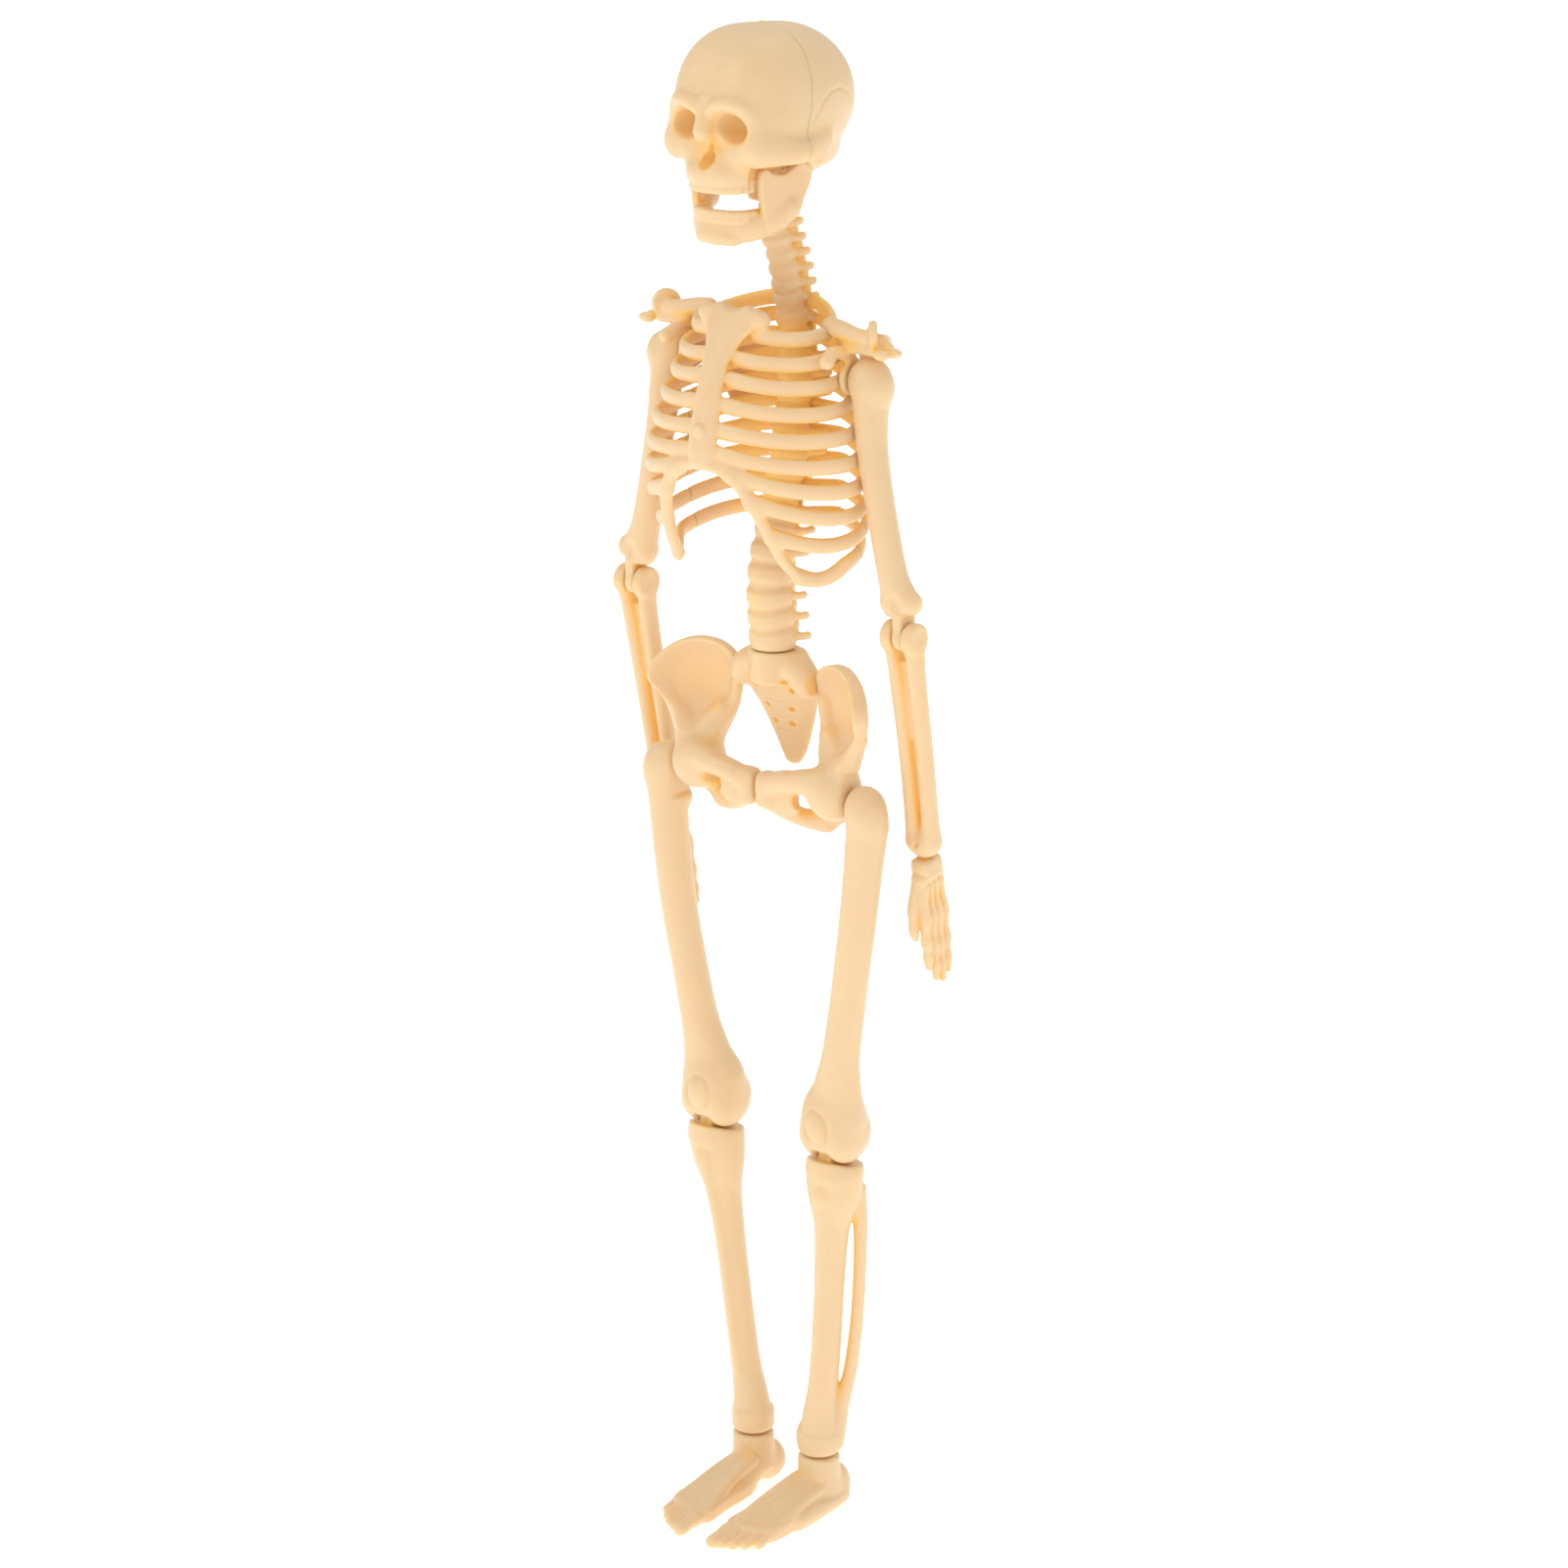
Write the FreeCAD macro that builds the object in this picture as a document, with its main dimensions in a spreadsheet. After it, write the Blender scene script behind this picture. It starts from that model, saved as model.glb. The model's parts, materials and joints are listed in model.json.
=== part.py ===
"""Human skeleton model: a small classroom skeleton of snap-together moulded plastic bones.

The skeleton stands upright, faces -Y, and its own left side is +X.  Lengths are millimetres.
Every bone is drawn about the plumb line through the spine, and the whole assembly is then
moved by plumb_y, so that the origin lies under the middle of its box, at the soles.
The right-hand bones are mirror images of the left-hand ones.
"""
import FreeCAD, Part
import math
import os

# Driving dimensions: cell name, value in millimetres (angles in degrees), meaning.
CELLS = (
    ("plumb_y", 3.8, "plumb line behind the middle of the box"),
    ("pin_rad", 1.0, "knee and neck pins, radius"),
    ("hip_pin_rad", 1.2, "hip, waist and ankle pins, radius"),
    ("elbow_pin_rad", 0.8, "elbow and wrist pins, radius"),
    ("jaw_pin_rad", 0.6, "jaw pins, radius"),
    ("run_gap", 0.06, "running clearance round a pin"),
    ("face_gap", 0.3, "gap between faces that turn past each other"),
    ("head_wide", 11.3, "cranium, half width"),
    ("head_deep", 15.2, "cranium, half depth"),
    ("head_tall", 12.4, "cranium, half height"),
    ("head_y", -1.6, "cranium centre"),
    ("head_z", 227.6, "cranium centre"),
    ("head_wall", 1.7, "skull shell thickness"),
    ("orbit_x", 4.4, "eye socket centre"),
    ("orbit_z", 226.6, "eye socket centre"),
    ("orbit_rad", 3.2, "eye socket radius"),
    ("jaw_y", -3.6, "jaw hinge axis"),
    ("jaw_z", 220.7, "jaw hinge axis"),
    ("jaw_rad", 9.0, "jaw arch, outer radius"),
    ("jaw_wall", 2.0, "jaw arch thickness"),
    ("neck_y", -1.0, "neck axis"),
    ("neck_z", 213.3, "seam between skull and neck"),
    ("waist_y", -1.3, "waist axis"),
    ("waist_z", 143.9, "seam between spine and sacrum"),
    ("disc_rad", 2.6, "neck vertebra radius"),
    ("disc_grow", 1.3, "what a lumbar vertebra's radius adds to a neck one's"),
    ("cage_wall", 1.8, "rib thickness"),
    ("cage_split_y", -1.0, "plane where the two halves of the rib cage meet"),
    ("slot_tall", 1.6, "gap between two ribs"),
    ("rib_pitch", 3.95, "from one rib to the next"),
    ("top_slot_z", 193.0, "highest gap between ribs"),
    ("sternum_half", 2.7, "breastbone, half width"),
    ("peg_rad", 1.1, "breastbone peg radius"),
    ("peg_z", 180.9, "breastbone peg height"),
    ("shoulder_x", 19.4, "humerus head centre"),
    ("shoulder_y", -1.6, "shoulder axis"),
    ("shoulder_z", 188.4, "shoulder axis"),
    ("shoulder_rad", 3.3, "humerus head radius"),
    ("blade_thick", 1.3, "shoulder blade thickness"),
    ("elbow_x", 26.9, "elbow centre"),
    ("elbow_y", -2.8, "elbow axis"),
    ("elbow_z", 150.5, "elbow axis"),
    ("elbow_rad", 2.5, "forearm head radius"),
    ("elbow_tongue", 1.7, "humerus tongue width between the forearm heads"),
    ("wrist_x", 26.2, "wrist centre"),
    ("wrist_y", 3.6, "wrist centre"),
    ("wrist_z", 114.5, "wrist centre"),
    ("forearm_rad", 1.25, "radius and ulna thickness, half"),
    ("palm_wide", 5.5, "palm width"),
    ("palm_thick", 2.6, "palm thickness"),
    ("hip_x", 19.4, "femur head centre"),
    ("hip_y", -3.2, "hip axis"),
    ("hip_z", 122.5, "hip axis"),
    ("hip_rad", 3.4, "femur head radius"),
    ("hip_face", 17.2, "outer face of the hip socket"),
    ("socket_rad", 4.4, "hip socket boss radius"),
    ("knee_x", 12.4, "knee centre"),
    ("knee_y", -1.6, "knee axis"),
    ("knee_z", 67.5, "knee axis"),
    ("knee_rad", 4.6, "femur condyle radius"),
    ("knee_wide", 10.4, "width over both condyles"),
    ("knee_tongue", 2.6, "tibia tongue width between the condyles"),
    ("knee_tongue_rad", 3.0, "tibia tongue radius"),
    ("knee_drop", 5.3, "tibia plateau below the knee axis"),
    ("shaft_rad", 3.0, "femur shaft radius"),
    ("shin_rad", 2.4, "tibia shaft radius"),
    ("fibula_rad", 1.1, "fibula radius"),
    ("ankle_x", 7.0, "ankle axis"),
    ("ankle_y", 0.8, "ankle axis"),
    ("ankle_z", 9.7, "seam between shin and foot"),
    ("ankle_rad", 3.4, "ankle block radius"),
    ("sole_thick", 2.6, "sole thickness"),
    ("toe_rad", 1.3, "toe radius"),
)
SIZES = {name: value for name, value, meaning in CELLS}

doc = FreeCAD.newDocument("skeleton")
sheet = doc.addObject("Spreadsheet::Sheet", "dims")
for row, (name, value, meaning) in enumerate(CELLS, start=1):
    sheet.set("A%d" % row, meaning)
    sheet.set("B%d" % row, str(value))
    sheet.setAlias("B%d" % row, name)
doc.recompute()

X_AXIS = FreeCAD.Vector(1, 0, 0)
Y_AXIS = FreeCAD.Vector(0, 1, 0)
Z_AXIS = FreeCAD.Vector(0, 0, 1)
FAR = 60.0  # larger than any bone's depth, for tools that cut right through
SUB_PARTS = []


# ---- a size is a number, or a text that adds and subtracts cell names and numbers ----

def number(value):
    """What a size comes to in millimetres."""
    if not isinstance(value, str):
        return float(value)
    total = 0.0
    sign = 1.0
    for word in value.split():
        if word in "+-":
            sign = 1.0 if word == "+" else -1.0
        else:
            total += sign * (SIZES[word] if word in SIZES else float(word))
    return total


def formula(value):
    """The same size as an expression that reads the sheet."""
    words = str(value).split()
    return " ".join("dims." + word if word in SIZES else word for word in words)


def give(item, prop, value):
    """Binds a property to the sheet when its size names a cell, or sets it."""
    if isinstance(value, str):
        item.setExpression(prop, formula(value))
    else:
        setattr(item, prop, value)


def place(item, point, rotation=FreeCAD.Rotation()):
    """Puts an item at a point, with each coordinate that names a cell bound to it."""
    base = FreeCAD.Vector(*[number(value) for value in point])
    item.Placement = FreeCAD.Placement(base, rotation)
    for letter, value in zip("xyz", point):
        if isinstance(value, str):
            item.setExpression(".Placement.Base." + letter, formula(value))
    return item


def span(start, end):
    """The distance between two points, as an expression."""
    parts = ["((%s) - (%s))^2" % (formula(b), formula(a)) for a, b in zip(start, end)]
    return "sqrt(%s)" % " + ".join(parts)


# ---- solids ----

def ball(centre, radii, turn=0.0):
    """An ellipsoid with half sizes along X, Y and Z, turned about Z."""
    item = doc.addObject("Part::Ellipsoid", "ball")
    for prop, value in zip(("Radius2", "Radius3", "Radius1"), radii):
        give(item, prop, value)
    return place(item, centre, FreeCAD.Rotation(Z_AXIS, turn))


def rod(start, end, radius, end_radius=None):
    """A straight round bar between two points, tapered where end_radius is given."""
    if end_radius is None:
        item = doc.addObject("Part::Cylinder", "rod")
        give(item, "Radius", radius)
    else:
        item = doc.addObject("Part::Cone", "rod")
        give(item, "Radius1", radius)
        give(item, "Radius2", end_radius)
    first = FreeCAD.Vector(*[number(value) for value in start])
    last = FreeCAD.Vector(*[number(value) for value in end])
    item.setExpression("Height", span(start, end))
    return place(item, start, FreeCAD.Rotation(Z_AXIS, last - first))


def block(low, size):
    """A box from its lowest corner."""
    item = doc.addObject("Part::Box", "block")
    for prop, value in zip(("Length", "Width", "Height"), size):
        give(item, prop, value)
    return place(item, low)


def tilted_block(centre, size, axis, angle):
    """A box about its centre, turned about an axis through that centre."""
    item = doc.addObject("Part::Box", "block")
    for prop, value in zip(("Length", "Width", "Height"), size):
        give(item, prop, value)
    rotation = FreeCAD.Rotation(axis, angle)
    half = FreeCAD.Vector(*[number(value) / 2.0 for value in size])
    middle = FreeCAD.Vector(*[number(value) for value in centre])
    item.Placement = FreeCAD.Placement(middle - rotation.multVec(half), rotation)
    return item


def loft(sections):
    """A smooth solid through level ellipses, each (x, y, z, half width, half depth)."""
    rings = []
    for x, y, z, wide, deep in sections:
        ring = doc.addObject("Part::Ellipse", "ring")
        give(ring, "MajorRadius", wide)
        give(ring, "MinorRadius", deep)
        rings.append(place(ring, (x, y, z)))
    item = doc.addObject("Part::Loft", "loft")
    item.Sections = rings
    item.Solid = True
    return item


def join(*items):
    """One solid made of several."""
    item = doc.addObject("Part::MultiFuse", "join")
    item.Shapes = list(items)
    return item


def cut(base, *tools):
    """A solid with tools taken out of it."""
    item = doc.addObject("Part::Cut", "cut")
    item.Base = base
    item.Tool = tools[0] if len(tools) == 1 else join(*tools)
    return item


def keep(base, tool):
    """The part of a solid that lies inside a tool."""
    item = doc.addObject("Part::Common", "keep")
    item.Base = base
    item.Tool = tool
    return item


def sub_part(label, item, move=("0", "plumb_y", "0"), rotation=FreeCAD.Rotation()):
    """Names a finished bone and moves it from the plumb line into the assembly's frame."""
    item.Label = label
    place(item, move, rotation)
    SUB_PARTS.append(item)
    return item


def right_of(label, left):
    """The mirror image of a left-hand bone."""
    item = doc.addObject("Part::Mirroring", "mirror")
    item.Source = left
    item.Normal = X_AXIS
    item.Label = label
    SUB_PARTS.append(item)


def pair(name, left):
    """A left-hand bone and its right-hand mirror image."""
    right_of(name + "_right", sub_part(name + "_left", left))


def pin(label, start, end, radius):
    """A plain round pin, which is one primitive and so is drawn in the assembly's frame."""
    ends = [(x, "%s + plumb_y" % y, z) for x, y, z in (start, end)]
    item = rod(ends[0], ends[1], radius)
    item.Label = label
    SUB_PARTS.append(item)
    return item


def pin_pair(name, start, end, radius):
    """A left-hand pin and its right-hand mirror image."""
    right_of(name + "_right", pin(name + "_left", start, end, radius))


def cross_pins(name, start_x, end_x, y, z, radius):
    """A pin along X on each side."""
    pin_pair(name, (start_x, y, z), (end_x, y, z), radius)


def bore_x(start_x, end_x, y, z, radius):
    """The tool that bores a hole along X."""
    return rod((start_x, y, z), (end_x, y, z), radius)


def both_sides(make):
    """The same solid made at +X and at -X."""
    return [make(side) for side in (1.0, -1.0)]


# ---- head ----

SEAM_TILT = -8.2     # degrees, the seam between the skull shells leans back at the top
SEAM_POINT = (0.0, -5.9, 222.6)
RAMUS_IN = 8.0       # inner face of the jaw's upright plates
RAMUS_THICK = 1.3


def skull_solid():
    """The whole skull: hollow cranium, face, cheek arches and the boss that takes the neck."""
    centre = ("0", "head_y", "head_z")
    sizes = ("head_wide", "head_deep", "head_tall")
    cranium = ball(centre, sizes)
    inside = ball(centre, [size + " - head_wall" for size in sizes])
    face = loft([(0.0, -12.0, 216.4, 6.2, 4.4),
                 (0.0, -11.0, 220.5, 7.2, 5.6),
                 (0.0, -9.2, 225.5, 8.8, 7.4)])
    cheeks = both_sides(lambda side: ball((side * 8.4, -13.8, 223.0), (2.2, 2.2, 2.0)))
    arches = both_sides(lambda side: rod((side * 9.0, -13.8, 223.0), (side * 10.9, -4.6, 223.4), 1.1))
    bosses = both_sides(lambda side: rod((side * 9.75, "jaw_y", 221.4), (side * 11.2, "jaw_y", 221.4), 2.1))
    base = rod(("0", "neck_y", "neck_z + 0.1"), ("0", "neck_y", "head_z - head_tall + 2.6"), 4.2)
    outside = join(cranium, face, *cheeks, *arches, *bosses)
    hollow = cut(outside, inside)
    with_base = join(hollow, base)
    orbits = both_sides(lambda side: rod((side * SIZES["orbit_x"], -FAR, "orbit_z"),
                                         (side * SIZES["orbit_x"], -10.5, "orbit_z"), "orbit_rad"))
    nose = rod((0.0, -FAR, 221.4), (0.0, -12.0, 221.4), 1.5)
    jaw_slots = both_sides(lambda side: block((side * 8.7 - 1.05, -8.0, 212.0), (2.1, 6.6, 10.8)))
    ramus_slots = both_sides(lambda side: block((side * 8.7 - 1.05, -13.0, 212.0), (2.1, 6.0, 9.2)))
    neck_bore = rod(("0", "neck_y", "neck_z - 1"), ("0", "neck_y", "neck_z + 4"), "pin_rad + run_gap")
    pin_bores = rod((-FAR, "jaw_y", "jaw_z"), (FAR, "jaw_y", "jaw_z"), "jaw_pin_rad")
    return cut(with_base, neck_bore, pin_bores, nose, *orbits, *jaw_slots, *ramus_slots)


def seam_half(side):
    """All that lies in front of the seam (side -1) or behind it (side 1)."""
    rotation = FreeCAD.Rotation(X_AXIS, SEAM_TILT)
    middle = FreeCAD.Vector(*SEAM_POINT) + rotation.multVec(FreeCAD.Vector(0, side * FAR / 2, 0))
    return tilted_block(tuple(middle), (FAR, FAR, FAR + FAR), X_AXIS, SEAM_TILT)


def jaw_solid():
    """A horseshoe arch with an upright plate and a round hinge head at each end."""
    outer = rod((0.0, -5.4, 208.8), (0.0, -5.4, 213.2), "jaw_rad")
    inner = rod((0.0, -5.4, 207.0), (0.0, -5.4, 215.0), "jaw_rad - jaw_wall")
    behind = block((-FAR / 2, -5.4, 200.0), (FAR, FAR, 20.0))
    arch = cut(outer, inner, behind)
    plates = both_sides(lambda side: block((side * 8.65 - RAMUS_THICK / 2, -8.4, 210.2),
                                           (RAMUS_THICK, 6.0, 9.0)))
    heads = both_sides(lambda side: rod((side * RAMUS_IN, "jaw_y", "jaw_z"),
                                        (side * (RAMUS_IN + RAMUS_THICK), "jaw_y", "jaw_z"), 1.7))
    hole = rod((-FAR, "jaw_y", "jaw_z"), (FAR, "jaw_y", "jaw_z"), "jaw_pin_rad + run_gap")
    return cut(join(arch, *plates, *heads), hole)


skull = skull_solid()
sub_part("skull_front", keep(skull, seam_half(-1.0)))
sub_part("skull_back", keep(skull, seam_half(1.0)))
sub_part("jaw", jaw_solid())
sub_part("jaw_pins", join(*both_sides(
    lambda side: rod((side * 8.1, "jaw_y", "jaw_z"), (side * 11.1, "jaw_y", "jaw_z"), "jaw_pin_rad"))))
pin("neck_pin", (0.0, "neck_y", "neck_z - 4"), (0.0, "neck_y", "neck_z + 3.8"), "pin_rad")

# ---- spine ----

VERTEBRAE = 24
SPINE_LOW = 146.2      # height of the lowest vertebra
SPINE_HIGH = 211.4     # height of the highest one


def spine_y(z):
    """How far back the spine lies: one slow wave, forward at the waist and neck, back at the chest."""
    return 0.9 + 3.3 * math.sin(2.0 * math.pi * (z - 168.0) / 74.0)


def spine_solid():
    """A bent core with a round vertebra and a rear spur at each level."""
    cores = [(0.0, "waist_y", "waist_z + 0.15", 3.3, 3.2)]
    for z in (153.0, 162.0, 172.0, 184.0, 194.0, 204.0):
        wide = 3.0 - 0.9 * (z - 153.0) / 51.0
        cores.append((0.0, spine_y(z), z, wide, wide - 0.05))
    cores.append((0.0, "neck_y", "neck_z", 2.2, 2.15))
    pieces = [loft(cores)]
    for level in range(VERTEBRAE):
        share = level / (VERTEBRAE - 1.0)
        z = SPINE_LOW + (SPINE_HIGH - SPINE_LOW) * share
        y = spine_y(z)
        if level == 0:
            y = SIZES["waist_y"]
        grow = (1.0 - share) * SIZES["disc_grow"]
        radius = SIZES["disc_rad"] - 0.2 + grow
        pieces.append(rod((0.0, y, z - 0.9), (0.0, y, z + 0.9), radius))
        pieces.append(block((-0.5, y, z - 1.1), (1.0, radius + 2.2, 1.5)))
    waist_bore = rod((0.0, "waist_y", "waist_z - 1"), (0.0, "waist_y", "waist_z + 4.2"), "hip_pin_rad + run_gap")
    neck_bore = rod((0.0, "neck_y", "neck_z - 4"), (0.0, "neck_y", "neck_z + 1"), "pin_rad")
    return cut(join(*pieces), waist_bore, neck_bore)


sub_part("spine", spine_solid())

# ---- rib cage ----

CAGE_RINGS = (          # (height, centre y, half width, half depth) of the barrel's outside
    (156.5, -3.0, 15.2, 9.4),
    (163.0, -3.8, 18.4, 12.0),
    (171.0, -4.6, 19.7, 13.6),
    (179.0, -4.4, 18.7, 13.2),
    (187.0, -3.6, 15.3, 11.9),
    (193.0, -2.7, 13.6, 9.8),
    (197.5, -1.8, 10.5, 7.6),
)
SLOTS = 9
ARCH_TOP = 173.0        # point of the opening below the breastbone
ARCH_BASE = 155.0
ARCH_HALF = 11.0        # half width of that opening at its base
MARGIN = 2.4            # rib edge kept beside that opening
BACK_TILT = 12.0        # degrees by which the ribs rise towards the spine
BACK_HALF = 3.0         # half width of the strip along the spine


def barrel():
    """The cage as a closed-sided barrel with open ends."""
    outside = loft([(0.0, y, z, wide, deep) for z, y, wide, deep in CAGE_RINGS])
    wall = SIZES["cage_wall"]
    reach = [(z, y, wide - wall, deep - wall) for z, y, wide, deep in CAGE_RINGS]
    low = (CAGE_RINGS[0][0] - 1.5,) + reach[0][1:]
    high = (CAGE_RINGS[-1][0] + 1.5,) + reach[-1][1:]
    reach = [low] + reach[1:-1] + [high]
    inside = loft([(0.0, y, z, wide, deep) for z, y, wide, deep in reach])
    return cut(outside, inside)


def slot_height(level):
    """The height of a gap between two ribs at the cage's sides."""
    return SIZES["top_slot_z"] - level * SIZES["rib_pitch"]


def front_slots():
    """Level gaps on the right, from the breastbone or the opening's edge out to the side."""
    tools = []
    for level in range(SLOTS):
        z = slot_height(level)
        edge = (ARCH_TOP - z) / (ARCH_TOP - ARCH_BASE) * ARCH_HALF + MARGIN
        inner = max(SIZES["sternum_half"], edge)
        tools.append(block((-inner - FAR, -FAR, z - SIZES["slot_tall"] / 2), (FAR, FAR, "slot_tall")))
    return tools


def back_slots():
    """Gaps on the right that rise from the side towards the spine."""
    tools = []
    rise = math.tan(math.radians(BACK_TILT))
    x = -BACK_HALF - FAR / 2
    y = SIZES["cage_split_y"] + FAR / 2
    for level in range(SLOTS):
        z = slot_height(level) + rise * FAR / 2
        tools.append(tilted_block((x, y, z), (FAR, FAR + 8.0, "slot_tall"), X_AXIS, BACK_TILT))
    return tools


def arch_opening():
    """The pointed opening below the breastbone, from front to middle."""
    item = doc.addObject("Part::Wedge", "opening")
    item.Xmin = -ARCH_HALF
    item.Xmax = ARCH_HALF
    item.X2min = -0.6
    item.X2max = 0.6
    item.Ymin = 0.0
    item.Ymax = ARCH_TOP - ARCH_BASE
    item.Zmin = 0.0
    item.Zmax = FAR
    item.Z2min = 0.0
    item.Z2max = FAR
    return place(item, (0.0, "cage_split_y + 1", ARCH_BASE), FreeCAD.Rotation(X_AXIS, 90.0))


def cage_half(label, front_y, tools, peg_holes=()):
    """One half of the cage: its right side is cut out of the barrel and mirrored to the left."""
    space = block((-FAR, front_y, 150.0), (FAR, 30.0, FAR))
    side = keep(barrel(), space)
    for tool in tools:
        side = cut(side, tool)
    other = doc.addObject("Part::Mirroring", "mirror")
    other.Source = side
    other.Normal = X_AXIS
    whole = join(side, other)
    for hole in peg_holes:
        whole = cut(whole, hole)
    return sub_part(label, whole)


peg_hole = rod((0.0, "cage_split_y - 19", "peg_z"), (0.0, "cage_split_y - 12", "peg_z"), "peg_rad")
cage_half("rib_cage_front", "cage_split_y - 30", front_slots() + [arch_opening()], [peg_hole])
cage_half("rib_cage_back", "cage_split_y", back_slots())
pin("breastbone_peg", (0.0, -18.0, "peg_z"), (0.0, -15.2, "peg_z"), "peg_rad")

# ---- shoulder blades ----

BLADE_TURN = -36.0      # degrees in plan, so that the blade lies against the back ribs
ACROMION_Z = 192.3      # underside of the shelf over the humerus head


def scapula_solid():
    """A blade behind the ribs, the plate that holds the shoulder pin, and the shelf above."""
    blade = tilted_block((13.2, 6.75, 184.4), (9.5, "blade_thick", 19.0), Z_AXIS, BLADE_TURN)
    socket = block((15.4, -1.8, 186.2), (1.05, 6.4, 4.4))
    cup = rod((15.4, "shoulder_y", "shoulder_z"), (16.45, "shoulder_y", "shoulder_z"), 2.6)
    ridge = rod((11.6, 8.0, 191.6), (17.6, 1.0, 193.1), 1.0)
    shelf = block((14.9, -3.6, ACROMION_Z), (7.2, 5.0, 1.4))
    plate = rod((20.4, -2.9, 194.9), (20.4, -1.5, 194.9), 2.4)
    eye = rod((20.4, -FAR, 195.1), (20.4, FAR, 195.1), 0.8)
    hole = bore_x(10.0, FAR, "shoulder_y", "shoulder_z", "pin_rad")
    return cut(join(blade, socket, cup, ridge, shelf, plate), eye, hole)


pair("scapula", scapula_solid())
cross_pins("shoulder_pin", 15.4, 21.4, "shoulder_y", "shoulder_z", "pin_rad")

# ---- arms ----

PRONG_IN = 1.05         # from the elbow's centre to the inner face of a forearm head
PRONG_WIDE = 1.9
WRIST_LEAN = math.degrees(math.atan2(SIZES["wrist_y"] - SIZES["elbow_y"],
                                     SIZES["elbow_z"] - SIZES["wrist_z"]))


def humerus_solid():
    """A trimmed ball head, a shaft that leans outwards, and a tongue at the elbow."""
    ball_head = ball(("shoulder_x", "shoulder_y", "shoulder_z"), ["shoulder_rad"] * 3)
    head = keep(ball_head, block((16.75, -20.0, 180.0), (5.7, 30.0, 20.0)))
    shaft = loft([(20.0, -1.7, 186.4, 2.9, 2.6),
                  (21.3, -1.9, 180.0, 2.45, 2.3),
                  (23.6, -2.3, 168.0, 2.25, 2.2),
                  (25.5, -2.6, 158.0, 2.7, 2.2),
                  ("elbow_x - 0.3", "elbow_y", "elbow_z + 2.9", 3.3, 2.3)])
    half = SIZES["elbow_tongue"] / 2
    tongue = block(("elbow_x - %s" % half, "elbow_y - 2", "elbow_z"), ("elbow_tongue", 4.0, 4.0))
    eye = rod(("elbow_x - %s" % half, "elbow_y", "elbow_z"),
              ("elbow_x + %s" % half, "elbow_y", "elbow_z"), 2.0)
    shoulder_bore = bore_x(10.0, FAR, "shoulder_y", "shoulder_z", "pin_rad + run_gap")
    elbow_bore = bore_x(10.0, FAR, "elbow_y", "elbow_z", "elbow_pin_rad + run_gap")
    return cut(join(head, shaft, tongue, eye), shoulder_bore, elbow_bore)


def forearm_solid():
    """Radius and ulna side by side, with a round head each and a common wrist block."""
    pieces = []
    for side in (1.0, -1.0):
        near = side * PRONG_IN
        far = side * (PRONG_IN + PRONG_WIDE)
        middle = (near + far) / 2
        pieces.append(rod(("elbow_x + %s" % near, "elbow_y", "elbow_z"),
                          ("elbow_x + %s" % far, "elbow_y", "elbow_z"), "elbow_rad"))
        pieces.append(rod(("elbow_x + %s" % middle, "elbow_y + 0.3", "elbow_z - 1"),
                          ("wrist_x + %s" % (side * 1.3), "wrist_y - 0.4", "wrist_z + 2"),
                          0.9, "forearm_rad"))
    pieces.append(ball(("wrist_x", "wrist_y - 0.35", "wrist_z + 1.9"), (2.6, 1.9, 2.1)))
    level = block(("wrist_x - 5", "wrist_y - 8", "wrist_z - 5"), (10.0, 20.0, 5.2))
    wrist_bore = rod(("wrist_x", "wrist_y + 0.36", "wrist_z - 2"),
                     ("wrist_x", "wrist_y - 0.52", "wrist_z + 3"), "elbow_pin_rad + run_gap")
    pin_bore = bore_x(10.0, FAR, "elbow_y", "elbow_z", "elbow_pin_rad")
    return cut(join(*pieces), level, wrist_bore, pin_bore)


def hand_solid():
    """Palm, four fingers held together and a thumb, below a round wrist peg, about the wrist."""
    peg_up = rod((0.0, 0.0, -2.0), (0.0, 0.0, 2.4), "elbow_pin_rad")
    carpus = ball((0.0, 0.0, -2.6), (1.7, 2.1, 2.3))
    palm = ball((0.0, 0.2, -6.6), ("palm_thick - 1.1", "palm_wide - 2.6", 4.6))
    pieces = [peg_up, carpus, palm]
    tips = (-17.6, -19.8, -20.6, -19.6)
    for finger, tip in enumerate(tips):
        y = -1.9 + 1.3 * finger
        pieces.append(rod((0.0, y, -7.0), (0.0, y * 0.8, tip), 0.95, 0.7))
    pieces.append(rod((-0.6, -1.6, -4.4), (-0.9, -3.6, -11.4), 1.0, 0.75))
    level = block((-5.0, -6.0, -0.15), (4.15, 12.0, 3.0))
    return cut(join(*pieces), level)


pair("humerus", humerus_solid())
pair("forearm", forearm_solid())
elbow_end = PRONG_IN + PRONG_WIDE - 0.3
cross_pins("elbow_pin", "elbow_x - %s" % elbow_end, "elbow_x + %s" % elbow_end,
          "elbow_y", "elbow_z", "elbow_pin_rad")
hand_left = sub_part("hand_left", hand_solid(), ("wrist_x", "wrist_y + plumb_y", "wrist_z"),
                     FreeCAD.Rotation(X_AXIS, WRIST_LEAN))
right_of("hand_right", hand_left)

# ---- pelvis ----


def sacrum_solid():
    """A wedge that narrows down to the tail bone, with a flat top for the spine."""
    bone = loft([(0.0, "waist_y + 0.4", "waist_z - 0.05", 6.3, 3.2),
                 (0.0, 0.4, 139.5, 7.6, 3.0),
                 (0.0, 2.2, 134.0, 5.6, 2.4),
                 (0.0, 3.4, 128.0, 3.2, 1.6),
                 (0.0, 3.7, 124.4, 1.6, 1.0)])
    bore = rod((0.0, "waist_y", "waist_z - 4"), (0.0, "waist_y", "waist_z + 1"), "hip_pin_rad")
    return cut(bone, bore)


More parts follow.
